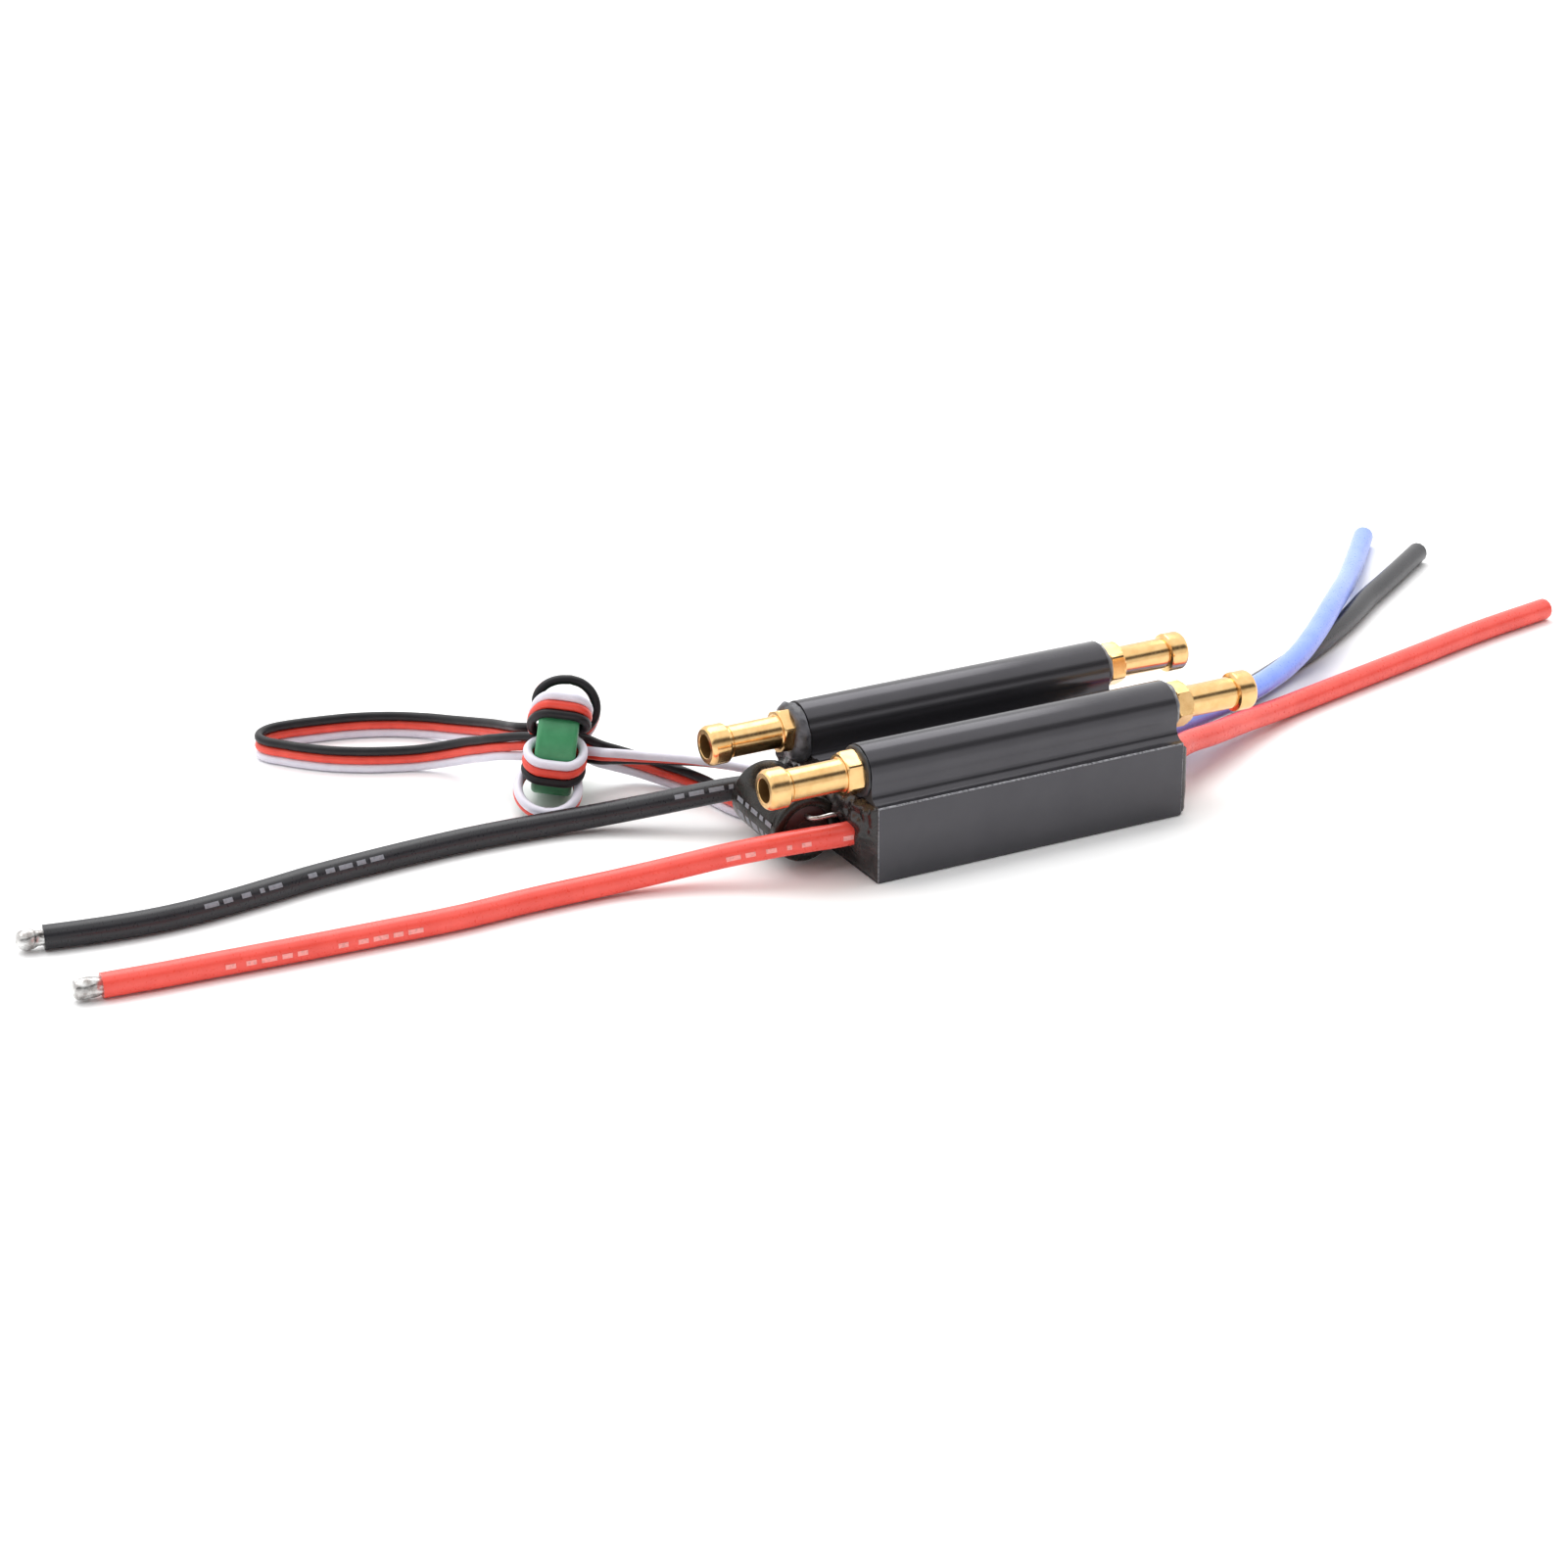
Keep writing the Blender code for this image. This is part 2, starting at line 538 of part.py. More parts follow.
def make_boards(board_material, chip_material, pad_material, header_material):
    pad_height = CAVITY_TOP - GAP - THERMAL_PAD_SIZE[2] / 2
    add_box("thermal_pad", THERMAL_PAD_SIZE, (0.0, 0.0, pad_height), pad_material)
    mosfet_height = pad_height - THERMAL_PAD_SIZE[2] / 2 - GAP - MOSFET_SIZE[2] / 2
    number = 0
    for column in range(MOSFET_COLUMNS):
        for side in (-1, 1):
            number += 1
            x = (column - (MOSFET_COLUMNS - 1) / 2) * MOSFET_PITCH_X
            place = (x, side * MOSFET_OFFSET_Y, mosfet_height)
            add_box(f"mosfet_{number:02d}", MOSFET_SIZE, place, chip_material)
    power_height = mosfet_height - MOSFET_SIZE[2] / 2 - GAP - POWER_BOARD_THICKNESS / 2
    power_size = (BOARD_LENGTH, BOARD_WIDTH, POWER_BOARD_THICKNESS)
    add_box("power_board", power_size, (0.0, 0.0, power_height), board_material)
    chip_height = power_height - POWER_BOARD_THICKNESS / 2 - GAP - DRIVER_SIZE[2] / 2
    for number, x in enumerate(DRIVER_XS, 1):
        add_box(f"gate_driver_{number}", DRIVER_SIZE, (x, 0.0, chip_height), chip_material)
    add_box("microcontroller", MICROCONTROLLER_SIZE, (MICROCONTROLLER_X, 0.0, chip_height), chip_material)
    add_box("receiver_supply_regulator", REGULATOR_SIZE, (REGULATOR_X, 0.0, chip_height), chip_material)
    for side, name in ((-1, "right"), (1, "left")):
        place = (HEADER_X, side * HEADER_OFFSET_Y, chip_height)
        add_box(f"board_link_header_{name}", HEADER_SIZE, place, header_material)
    control_height = chip_height - DRIVER_SIZE[2] / 2 - GAP - CONTROL_BOARD_THICKNESS / 2
    control_size = (BOARD_LENGTH, BOARD_WIDTH, CONTROL_BOARD_THICKNESS)
    add_box("control_board", control_size, (0.0, 0.0, control_height), board_material)


def make_power_wires(red, black, blue, tin):
    routes = (
        ("battery_wire_red", BATTERY_WIRE_RED, red),
        ("battery_wire_black", BATTERY_WIRE_BLACK, black),
        ("motor_wire_red", MOTOR_WIRE_RED, red),
        ("motor_wire_blue", MOTOR_WIRE_BLUE, blue),
        ("motor_wire_black", MOTOR_WIRE_BLACK, black),
    )
    for name, route, material in routes:
        points = smooth_route(in_metres(route), WIRE_POINT_SPACING)
        add_tube(name, points, WIRE_RADIUS, material)
        if name.startswith("battery"):
            ahead = (points[-1] - points[-2]).normalized()
            tip = [points[-1] + ahead * GAP, points[-1] + ahead * TIP_LENGTH]
            add_tube(name.replace("wire", "wire_tinned_end"), tip, TIP_RADIUS, tin)


def make_signal_lead(material):
    flat = math.radians(90.0)
    stretches = (
        ("signal_lead_to_ferrite", SIGNAL_LEAD_TO_FERRITE, 0.0),
        ("signal_lead_loop", SIGNAL_LEAD_LOOP, 0.0),
        ("signal_lead_to_plug", SIGNAL_LEAD_TO_PLUG, flat),
    )
    for name, route, tilt in stretches:
        points = smooth_route(in_metres(route), RIBBON_POINT_SPACING)
        add_tube(name, points, CORE_RADIUS, material, CORE_PITCH, tilt)


def ferrite_frame():
    """The ring's axis is Z here, X points level to the front of its rim and Y points up."""
    across = Vector((math.cos(FERRITE_HEADING), math.sin(FERRITE_HEADING), 0.0))
    facing = Vector((math.sin(FERRITE_HEADING), -math.cos(FERRITE_HEADING), 0.0))
    axis = -across * math.cos(FERRITE_LEAN) + Vector((0.0, 0.0, math.sin(FERRITE_LEAN)))
    upward = axis.cross(facing)
    turn = Matrix((facing, upward, axis)).transposed().to_4x4()
    return Matrix.Translation(FERRITE_CENTRE) @ turn


def ring_profile(inner, outer, half_width, edge):
    return (
        (outer - edge, half_width), (outer, half_width - edge), (outer, edge - half_width),
        (outer - edge, -half_width), (inner + edge, -half_width), (inner, edge - half_width),
        (inner, half_width - edge), (inner + edge, half_width),
    )


def make_ferrite(ferrite_material, winding_material):
    frame = ferrite_frame()
    half = FERRITE_WIDTH / 2
    ring_shape = ring_profile(FERRITE_INNER_RADIUS, FERRITE_OUTER_RADIUS, half, FERRITE_EDGE)
    ring = turned("ferrite_ring", ring_shape, ferrite_material, FERRITE_STEPS)
    ring.matrix_world = frame
    inside = as_cutter(turned("winding_clearance_cutter", ring_profile(
        FERRITE_INNER_RADIUS - GAP, FERRITE_OUTER_RADIUS + GAP, half + GAP, FERRITE_EDGE,
    ), None, FERRITE_STEPS, CUTTERS))
    inside.matrix_world = frame
    wrap = GAP + WINDING_THICKNESS
    for name, span in (("upper", UPPER_WINDING_ARC), ("lower", LOWER_WINDING_ARC)):
        band_shape = ring_profile(
            FERRITE_INNER_RADIUS - wrap, FERRITE_OUTER_RADIUS + wrap, half + wrap, 2 * FERRITE_EDGE,
        )
        band = turned(f"signal_winding_{name}", band_shape, winding_material, FERRITE_STEPS)
        band.matrix_world = frame
        wedge = [(0.0, 0.0)] + arc((0.0, 0.0), WEDGE_REACH, span[0], span[1], WEDGE_STEPS)
        cutter = outline_solid(f"winding_wedge_cutter_{name}", wedge, 2 * WEDGE_REACH, None, CUTTERS)
        cutter.matrix_world = frame
        bpy.context.view_layer.update()
        boolean(band, as_cutter(baked(cutter)), "INTERSECT")
        boolean(band, inside, "DIFFERENCE")


def make_plug(plastic, contact_material):
    plug = add_box("plug_housing", PLUG_SIZE, PLUG_CENTRE, plastic)
    slot_end = PLUG_CENTRE.x + PLUG_SIZE.x / 2 - PLUG_SLOT.x / 2 + CUTTER_MARGIN
    for number, name in enumerate(("signal", "power", "ground"), -1):
        y = PLUG_CENTRE.y + number * PLUG_PITCH
        slot = add_cutter(f"plug_slot_cutter_{name}", box_mesh(f"plug_slot_{name}", PLUG_SLOT))
        slot.location = (slot_end, y, PLUG_CENTRE.z)
        boolean(plug, slot, "DIFFERENCE")
        place = (slot_end - CUTTER_MARGIN, y, PLUG_CENTRE.z)
        add_box(f"plug_contact_{name}", CONTACT_SIZE, place, contact_material)


clear_scene()
PARTS = new_collection(ESC_NAME)
CUTTERS = new_collection("cutters")

black_anodised = make_material("black anodised aluminium", (0.025, 0.025, 0.027), 0.42, 0.6)
turned_brass = make_material("turned brass", (0.80, 0.58, 0.24), 0.25, 1.0)
grey_sealant = make_material("grey sealant", (0.10, 0.10, 0.11), 0.35)
black_potting = make_material("black potting compound", (0.02, 0.018, 0.018), 0.2)
black_sleeve = make_material("capacitor sleeve", (0.03, 0.028, 0.026), 0.3)
bare_aluminium = make_material("bare aluminium", (0.75, 0.75, 0.77), 0.35, 1.0)
dark_rubber = make_material("bung rubber", (0.05, 0.03, 0.03), 0.6)
tinned_copper = make_material("tinned copper", (0.78, 0.76, 0.74), 0.3, 1.0)
green_board = make_material("circuit board", (0.03, 0.16, 0.07), 0.45)
black_chip = make_material("moulded chip package", (0.03, 0.03, 0.03), 0.5)
grey_pad = make_material("thermal pad", (0.45, 0.47, 0.50), 0.8)
red_silicone = make_material("red silicone", (0.85, 0.09, 0.06), 0.45)
black_silicone = make_material("black silicone", (0.03, 0.03, 0.032), 0.45)
blue_silicone = make_material("blue silicone", (0.22, 0.34, 0.90), 0.45)
white_ribbon = make_material("ribbon cable", (0.85, 0.84, 0.86), 0.45)
green_ferrite = make_material("green coated ferrite", (0.06, 0.30, 0.13), 0.4)
black_plastic = make_material("black plastic", (0.03, 0.03, 0.03), 0.45)

make_housing(black_anodised)
make_nipples(turned_brass)
make_sealant_beads(grey_sealant)
make_potting(black_potting)
make_capacitor(black_sleeve, bare_aluminium, dark_rubber, tinned_copper)
make_boards(green_board, black_chip, grey_pad, black_plastic)
make_power_wires(red_silicone, black_silicone, blue_silicone, tinned_copper)
make_signal_lead(white_ribbon)
make_ferrite(green_ferrite, white_ribbon)
make_plug(black_plastic, tinned_copper)
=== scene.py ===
"""Looks of the water-cooled electronic speed controller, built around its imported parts."""

import json
import math

import bmesh
import bpy
from mathutils import Matrix, Vector, noise


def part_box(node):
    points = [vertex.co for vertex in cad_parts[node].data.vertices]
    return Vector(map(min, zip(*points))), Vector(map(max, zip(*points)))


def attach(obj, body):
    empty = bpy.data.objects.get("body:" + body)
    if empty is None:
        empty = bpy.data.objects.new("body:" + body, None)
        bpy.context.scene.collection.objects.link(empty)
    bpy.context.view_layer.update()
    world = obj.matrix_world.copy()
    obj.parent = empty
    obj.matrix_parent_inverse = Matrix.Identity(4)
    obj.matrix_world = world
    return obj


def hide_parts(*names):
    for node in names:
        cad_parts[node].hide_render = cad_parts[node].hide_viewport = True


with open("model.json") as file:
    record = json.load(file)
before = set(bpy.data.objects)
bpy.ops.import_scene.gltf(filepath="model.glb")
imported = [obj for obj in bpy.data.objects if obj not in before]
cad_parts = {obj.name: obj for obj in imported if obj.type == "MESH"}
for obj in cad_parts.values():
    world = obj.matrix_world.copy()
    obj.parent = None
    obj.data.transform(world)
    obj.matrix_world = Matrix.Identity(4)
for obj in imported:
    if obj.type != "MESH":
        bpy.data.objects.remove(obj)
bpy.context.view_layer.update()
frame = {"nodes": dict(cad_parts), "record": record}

MM = 0.001

# Places and sizes in millimetres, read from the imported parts.
HOUSING_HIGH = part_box("housing")[1] / MM
END_X = HOUSING_HIGH.x
HALF_WIDTH = HOUSING_HIGH.y
NIPPLE_LOW, NIPPLE_HIGH = (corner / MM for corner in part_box("nipple_motor_end_left"))
NIPPLE_AXIS = (NIPPLE_LOW + NIPPLE_HIGH) / 2
TUBE_Y = NIPPLE_AXIS.y
TUBE_Z = NIPPLE_AXIS.z
TUBE_RADIUS = HOUSING_HIGH.z - TUBE_Z
RING_CENTRE = Vector(sum(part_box("ferrite_ring"), Vector())) / 2 / MM
PLUG_LOW, PLUG_HIGH = (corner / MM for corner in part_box("plug_housing"))

# Housing cross-section.
SIDE_HEIGHT = 9.8
FLARE_HEIGHT = 1.5
TUBE_WALL_DIP = 14.0
TUBE_BORE_RADIUS = 2.1
CAVITY_HALF_WIDTH = 11.1
CAVITY_FLOOR = 1.3
CAVITY_TOP = 8.5
EDGE = 0.08

# Nipples, from the end face outwards.
NUT_START = 0.8
NUT_END = 3.0
NUT_ACROSS_FLATS = 5.0
BARREL_RADIUS = 2.0
BARB_START = 10.0
BARB_RADIUS = 2.5
NIPPLE_END = 12.7
NIPPLE_BORE = 1.5
STUB_LENGTH = 5.0  # inside the tube

# Capacitor.
CAPACITOR_X = -26.6
CAPACITOR_NEAR_Y = -4.3
CAPACITOR_Z = 5.0
CAPACITOR_LENGTH = 11.8
CAPACITOR_TILT = 3.0
SLEEVE_RADIUS = 4.3
LEAD_PITCH = 3.5
LEAD_RADIUS = 0.3

# Wires and the signal lead.
WIRE_RADIUS = 1.5
CUT_END_ROUNDING = 0.45
CORE_PITCH = 1.15
CORE_RADIUS = 0.59
TIP_OVERLAP = 0.4  # of a tinned end inside the insulation
TIP_SHAPES = {  # (length, radius) pairs
    "red": (
        (0.0, 1.0), (0.7, 1.05), (1.3, 1.2), (2.2, 1.25), (3.0, 1.2), (3.45, 1.0), (3.65, 0.55), (3.7, 0.05),
    ),
    "black": (
        (0.0, 0.95), (0.7, 0.9), (1.2, 0.95), (1.7, 1.2), (2.4, 1.3), (3.1, 1.05), (3.5, 0.55), (3.6, 0.05),
    ),
}
WIRE_DASHES = ((0.0, 1.4), (2.3, 0.8), (4.0, 1.5), (6.3, 1.5), (8.5, 1.4))  # (start, length) in each group
CAPACITOR_DASHES = ((1.3, 1.5), (3.4, 0.9), (4.9, 1.6), (7.1, 0.9), (8.6, 1.5))
DASH_HALF_WIDTH = 11.0  # degrees round the wire

BATTERY_WIRE_RED = (
    (-21.9, -8.0, 5.2), (-24.8, -7.9, 5.2), (-28.2, -6.9, 4.95), (-32.6, -5.6, 4.5), (-37.0, -3.8, 3.7),
    (-41.5, -2.2, 2.8), (-46.2, -1.0, 2.1), (-51.0, -0.2, 1.65), (-60.7, 0.1, 1.5), (-70.8, -0.3, 1.5),
    (-80.4, 0.1, 1.5), (-89.8, 0.6, 1.5), (-98.9, 1.2, 1.5), (-105.7, 1.6, 1.5), (-112.4, 2.2, 1.5),
)
BATTERY_WIRE_BLACK = (
    (-21.9, 9.2, 5.4), (-25.2, 9.5, 5.4), (-29.3, 11.0, 5.05), (-32.5, 12.3, 4.5), (-36.2, 14.1, 3.65),
    (-40.5, 16.1, 2.75), (-44.9, 17.9, 2.0), (-49.7, 19.1, 1.6), (-59.8, 19.8, 1.5), (-70.2, 19.4, 1.5),
    (-80.5, 18.4, 1.5), (-85.8, 17.5, 1.5), (-91.0, 16.6, 1.5), (-96.2, 15.9, 1.5), (-101.0, 15.7, 1.5),
    (-105.6, 16.0, 1.5), (-110.0, 16.6, 1.5), (-114.4, 17.4, 1.5),
)
MOTOR_WIRE_RED = (
    (21.9, -5.2, 5.2), (24.9, -5.0, 5.15), (29.0, -2.5, 4.75), (34.7, 0.0, 3.95), (41.9, 3.6, 2.9),
    (48.7, 6.6, 2.0), (54.9, 8.8, 1.6), (66.8, 12.1, 1.5), (79.0, 15.3, 1.5), (91.6, 18.6, 1.5),
    (105.3, 21.4, 1.5),
)
MOTOR_WIRE_BLUE = (
    (21.9, 0.0, 5.2), (26.2, 0.4, 5.2), (31.5, 2.7, 5.1), (35.9, 4.4, 5.0), (41.4, 6.5, 4.85),
    (47.8, 9.3, 4.7), (54.4, 13.0, 4.6), (59.7, 16.7, 4.6), (64.3, 20.5, 4.65), (69.0, 24.7, 4.7),
    (73.5, 29.0, 4.65), (78.8, 34.4, 4.0), (84.5, 40.4, 2.9), (90.4, 46.9, 2.1), (96.0, 53.2, 1.6),
    (101.2, 59.0, 1.5),
)
MOTOR_WIRE_BLACK = (
    (21.9, 5.2, 5.2), (26.2, 5.6, 5.1), (32.0, 7.4, 4.3), (39.0, 9.8, 3.3), (45.8, 12.7, 2.4),
    (51.7, 15.7, 1.8), (57.0, 18.6, 1.55), (62.2, 21.4, 1.5), (67.2, 24.1, 1.5), (74.4, 28.6, 1.5),
    (79.9, 32.4, 1.5), (85.5, 36.6, 1.5), (90.8, 40.2, 1.5), (95.9, 43.7, 1.5), (104.0, 49.3, 1.5),
)
LEAD_TO_FERRITE = (
    (-21.9, 9.2, 1.8), (-24.2, 9.4, 1.8), (-25.9, 11.0, 1.8), (-27.2, 13.6, 1.8), (-27.9, 16.6, 1.78),
    (-28.5, 19.8, 1.78), (-29.6, 23.4, 1.78), (-31.3, 26.6, 2.0), (-33.4, 28.9, 2.6), (-35.8, 29.9, 3.5),
    (-38.0, 30.1, 4.5),
)
LEAD_LOOP = (
    (-46.2, 36.0, 6.4), (-46.3, 39.6, 5.3), (-46.6, 43.3, 4.35), (-47.5, 47.6, 3.25), (-49.0, 51.9, 2.3),
    (-51.2, 55.3, 1.85), (-55.0, 58.1, 1.78), (-59.6, 60.1, 1.78), (-64.4, 61.2, 1.78), (-67.6, 61.7, 1.78),
    (-70.2, 61.7, 1.78), (-72.0, 60.8, 1.78), (-72.8, 59.2, 1.78), (-72.3, 57.5, 1.78), (-71.1, 56.0, 1.78),
    (-69.2, 53.7, 1.78), (-66.0, 50.7, 1.78), (-61.8, 48.1, 1.78), (-57.6, 46.3, 1.78), (-55.2, 44.9, 2.1),
    (-53.1, 42.9, 2.85), (-51.7, 40.5, 3.85), (-50.7, 38.0, 4.8), (-49.6, 35.6, 5.7),
)
LEAD_TO_PLUG = (
    (-39.6, 25.6, 6.1), (-37.3, 25.3, 5.7), (-34.9, 24.8, 5.3), (-32.2, 23.5, 5.1), (-29.5, 21.6, 5.05),
    (-26.8, 19.9, 4.75), (-24.0, 18.5, 4.1), (-20.6, 17.5, 2.9), (-16.6, 17.2, 1.7), (-12.6, 17.6, 1.35),
    (-10.4, 17.8, 1.35),
)

# Ferrite ring and the turns on it, as (forward, up) places of the white, red and black cores round its axis.
RING_HEADING = math.radians(-27.6)
RING_LEAN = math.radians(8.0)
RING_OUTER = 6.35
RING_INNER = 3.5
RING_HALF_WIDTH = 2.55
RING_ROUNDING = 0.6
BORE_LAYER = 2.85
UPPER_TIGHT = ((2.91, 7.72), (3.38, 6.68), (3.91, 5.66))
UPPER_LOOSE = ((-3.72, 7.36), (-2.64, 7.82), (-1.56, 8.27))
LOWER_TIGHT = ((7.03, 0.1), (7.03, -1.05), (7.03, -2.2))
LOWER_LOOSE = ((10.3, -4.95), (9.55, -5.8), (8.45, -6.1))
MIDDLE_BACK = ((-0.6, -1.17), (-0.6, 0.0), (-0.6, 1.17))
MIDDLE_FRONT_IN = ((0.6, -1.5), (0.6, -0.35), (0.6, 0.8))
MIDDLE_FRONT_OUT = ((1.3, -0.1), (0.5, -0.9), (-0.3, -1.7))
TIGHT_REACH = 3.45
TIGHT_FLAT = 1.2

# Potting, as a height field over each end.
POTTING_BOTTOM = 0.3
POTTING_HALF_WIDTH = 12.45
POTTING_COLUMNS = 120
POTTING_ROWS = 60
POTTING_BASE = END_X - 0.03
POTTING_BACK = END_X - 0.06

# Camera, in degrees and millimetres, and the tent's light from the front horizon over to the back one.
CAMERA_AZIMUTH = -27.57
CAMERA_ELEVATION = 23.143
CAMERA_ROLL = -0.33
CAMERA_BACK = 452.617
CAMERA_LEFT = 24.362
CAMERA_RISE = 3.61
CAMERA_LENS = 83.5
TENT_LEVELS = ((0.0, 0.75), (0.12, 0.7), (0.16, 0.05), (0.26, 0.05), (0.31, 0.95), (0.86, 1.0), (1.0, 0.85))
TENT_STRENGTH = 1.4


# ---- helpers

def metres(point):
    return Vector(point) * MM


def linked(name, data):
    thing = bpy.data.objects.new(name, data)
    bpy.context.scene.collection.objects.link(thing)
    return thing


def new_piece(name, data, finishes, shown=True):
    piece = linked(name, data)
    for finish in finishes:
        data.materials.append(finish)
    if shown:
        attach(piece, "root")
    return piece


def smooth(mesh, sharp_degrees=35.0):
    mesh.shade_smooth()
    mesh.set_sharp_from_angle(angle=math.radians(sharp_degrees))


def mesh_from(name, bm):
    bmesh.ops.recalc_face_normals(bm, faces=bm.faces)
    mesh = bpy.data.meshes.new(name)
    bm.to_mesh(mesh)
    bm.free()
    return mesh


def skin(bm, rows, rings=True):
    """Faces from each row of vertices to the next. Rows that are rings close on themselves."""
    for low, high in zip(rows, rows[1:]):
        for i in range(len(low) if rings else len(low) - 1):
            j = (i + 1) % len(low)
            bm.faces.new((low[i], low[j], high[j], high[i]))


def catmull(points, steps):
    """Places on a smooth curve through the points, which may be vectors of any size."""
    knots = [2 * points[0] - points[1], *points, 2 * points[-1] - points[-2]]
    fine = []
    for a, b, c, d in zip(knots, knots[1:], knots[2:], knots[3:]):
        for i in range(steps):
            t = i / steps
            square = 2 * a - 5 * b + 4 * c - d
            cube = 3 * b - a - 3 * c + d
            fine.append((2 * b + (c - a) * t + square * t**2 + cube * t**3) / 2)
    fine.append(points[-1])
    return fine


def path_length(points):
    return sum((q - p).length for p, q in zip(points, points[1:]))


def spaced(points, spacing):
    """The same path with its points evenly spaced."""
    total = path_length(points)
    count = max(1, round(total / spacing))
    step = total / count
    made = [points[0].copy()]
    walked = 0.0
    for p, q in zip(points, points[1:]):
        length = (q - p).length
        while len(made) < count and walked + length >= step * len(made):
            made.append(p.lerp(q, (step * len(made) - walked) / length))
        walked += length
    made.append(points[-1].copy())
    return made


def tube_curve(name, paths, radius, resolution=5, end_rounding=0.0):
    """A curve with a round bevel on each path, given in metres. A rounded end draws in over that length."""
    curve = bpy.data.curves.new(name, "CURVE")
    curve.dimensions = "3D"
    curve.bevel_depth = radius
    curve.bevel_resolution = resolution
    curve.use_fill_caps = True
    curve.twist_mode = "MINIMUM"
    for path in paths:
        path = list(path)
        radii = [1.0] * len(path)
        if end_rounding:
            end = path.pop()
            radii.pop()
            way = (end - path[-1]).normalized()
            for angle in (0.0, 25.0, 45.0, 62.0, 78.0):
                sweep = math.radians(angle)
                path.append(end - way * end_rounding * (1.0 - math.sin(sweep)))
                radii.append(1.0 - end_rounding / radius * (1.0 - math.cos(sweep)))
        spline = curve.splines.new("POLY")
        spline.points.add(len(path) - 1)
        for place, point, size in zip(spline.points, path, radii):
            place.co = (*point, 1.0)
            place.radius = size
        spline.use_smooth = True
    return curve


def turned_mesh(name, profile, steps=64):
    """A closed profile of (radius, height) turned about Z, in millimetres."""
    bm = bmesh.new()
    rings = []
    for step in range(steps):
        angle = 2 * math.pi * step / steps
        rings.append([
            bm.verts.new((radius * math.cos(angle) * MM, radius * math.sin(angle) * MM, height * MM))
            for radius, height in profile
        ])
    skin(bm, rings + rings[:1])
    bmesh.ops.remove_doubles(bm, verts=bm.verts, dist=0.000001)
    return mesh_from(name, bm)


def arc(centre, radius, start, end, count):
    points = []
    for i in range(count + 1):
        angle = math.radians(start + (end - start) * i / count)
        points.append((centre[0] + radius * math.cos(angle), centre[1] + radius * math.sin(angle)))
    return points


# ---- finishes

def grain(tree, scale, detail=3.0, stretch=(1.0, 1.0, 1.0)):
    """A noise in the object's own coordinates. The scale is in grains per millimetre."""
    place = tree.nodes.new("ShaderNodeTexCoord")
    mapping = tree.nodes.new("ShaderNodeMapping")
    mapping.inputs["Scale"].default_value = [scale / MM * share for share in stretch]
    texture = tree.nodes.new("ShaderNodeTexNoise")
    texture.inputs["Scale"].default_value = 1.0
    texture.inputs["Detail"].default_value = detail
    tree.links.new(place.outputs["Object"], mapping.inputs["Vector"])
    tree.links.new(mapping.outputs["Vector"], texture.inputs["Vector"])
    return texture.outputs["Fac"]


def ranged(tree, value, low, high, start=0.3, end=0.7):
    spread = tree.nodes.new("ShaderNodeMapRange")
    spread.inputs["From Min"].default_value = start
    spread.inputs["From Max"].default_value = end
    spread.inputs["To Min"].default_value = low
    spread.inputs["To Max"].default_value = high
    tree.links.new(value, spread.inputs["Value"])
    return spread.outputs["Result"]


def vary_colour(tree, shader, noise_settings, first, second, start=0.3, end=0.7):
    mix = tree.nodes.new("ShaderNodeMix")
    mix.data_type = "RGBA"
    mix.inputs["A"].default_value = (*first, 1.0)
    mix.inputs["B"].default_value = (*second, 1.0)
    tree.links.new(ranged(tree, grain(tree, *noise_settings), 0.0, 1.0, start, end), mix.inputs["Factor"])
    tree.links.new(mix.outputs["Result"], shader.inputs["Base Color"])


def add_bump(tree, shader, noise_settings, depth_mm, strength):
    bump = tree.nodes.new("ShaderNodeBump")
    bump.inputs["Distance"].default_value = depth_mm * MM
    bump.inputs["Strength"].default_value = strength
    tree.links.new(grain(tree, *noise_settings), bump.inputs["Height"])
    before = shader.inputs["Normal"].links
    if before:
        tree.links.new(before[0].from_socket, bump.inputs["Normal"])
    tree.links.new(bump.outputs["Normal"], shader.inputs["Normal"])


def make_finish(name, colour, roughness, metallic=0.0, gloss=0.5, shades=(), rough=(), bumps=()):
    """A finish that varies with noises, each given as grain's settings. Shades are a noise, two colours and
    the noise's range between them. Rough is a noise and two roughnesses. Bumps are noises, depths and
    strengths."""
    finish = bpy.data.materials.new(name)
    finish.use_nodes = True
    tree = finish.node_tree
    shader = tree.nodes["Principled BSDF"]
    shader.inputs["Base Color"].default_value = (*colour, 1.0)
    shader.inputs["Roughness"].default_value = roughness
    shader.inputs["Metallic"].default_value = metallic
    shader.inputs["Specular IOR Level"].default_value = gloss
    if shades:
        vary_colour(tree, shader, *shades)
    if rough:
        settings, low, high = rough
        tree.links.new(ranged(tree, grain(tree, *settings), low, high), shader.inputs["Roughness"])
    for bump in bumps:
        add_bump(tree, shader, *bump)
    return finish


def sealant_finish(name, colour, pale):
    """Cured silicone sealant, with paler smears."""
    return make_finish(
        name, colour, 0.4, shades=((0.7, 4.0), colour, pale, 0.42, 0.68), rough=((2.0,), 0.25, 0.45),
        bumps=(((1.8,), 0.04, 0.5),),
    )


def silicone_finish(name, colour, shade, gloss=0.5):
    """Soft silicone insulation: half matt, faintly uneven, with extrusion ripple."""
    return make_finish(
        name, colour, 0.4, gloss=gloss, shades=((0.3,), colour, shade), rough=((3.0,), 0.26, 0.34),
        bumps=(((1.6,), 0.012, 0.4), ((14.0,), 0.003, 0.4)),
    )


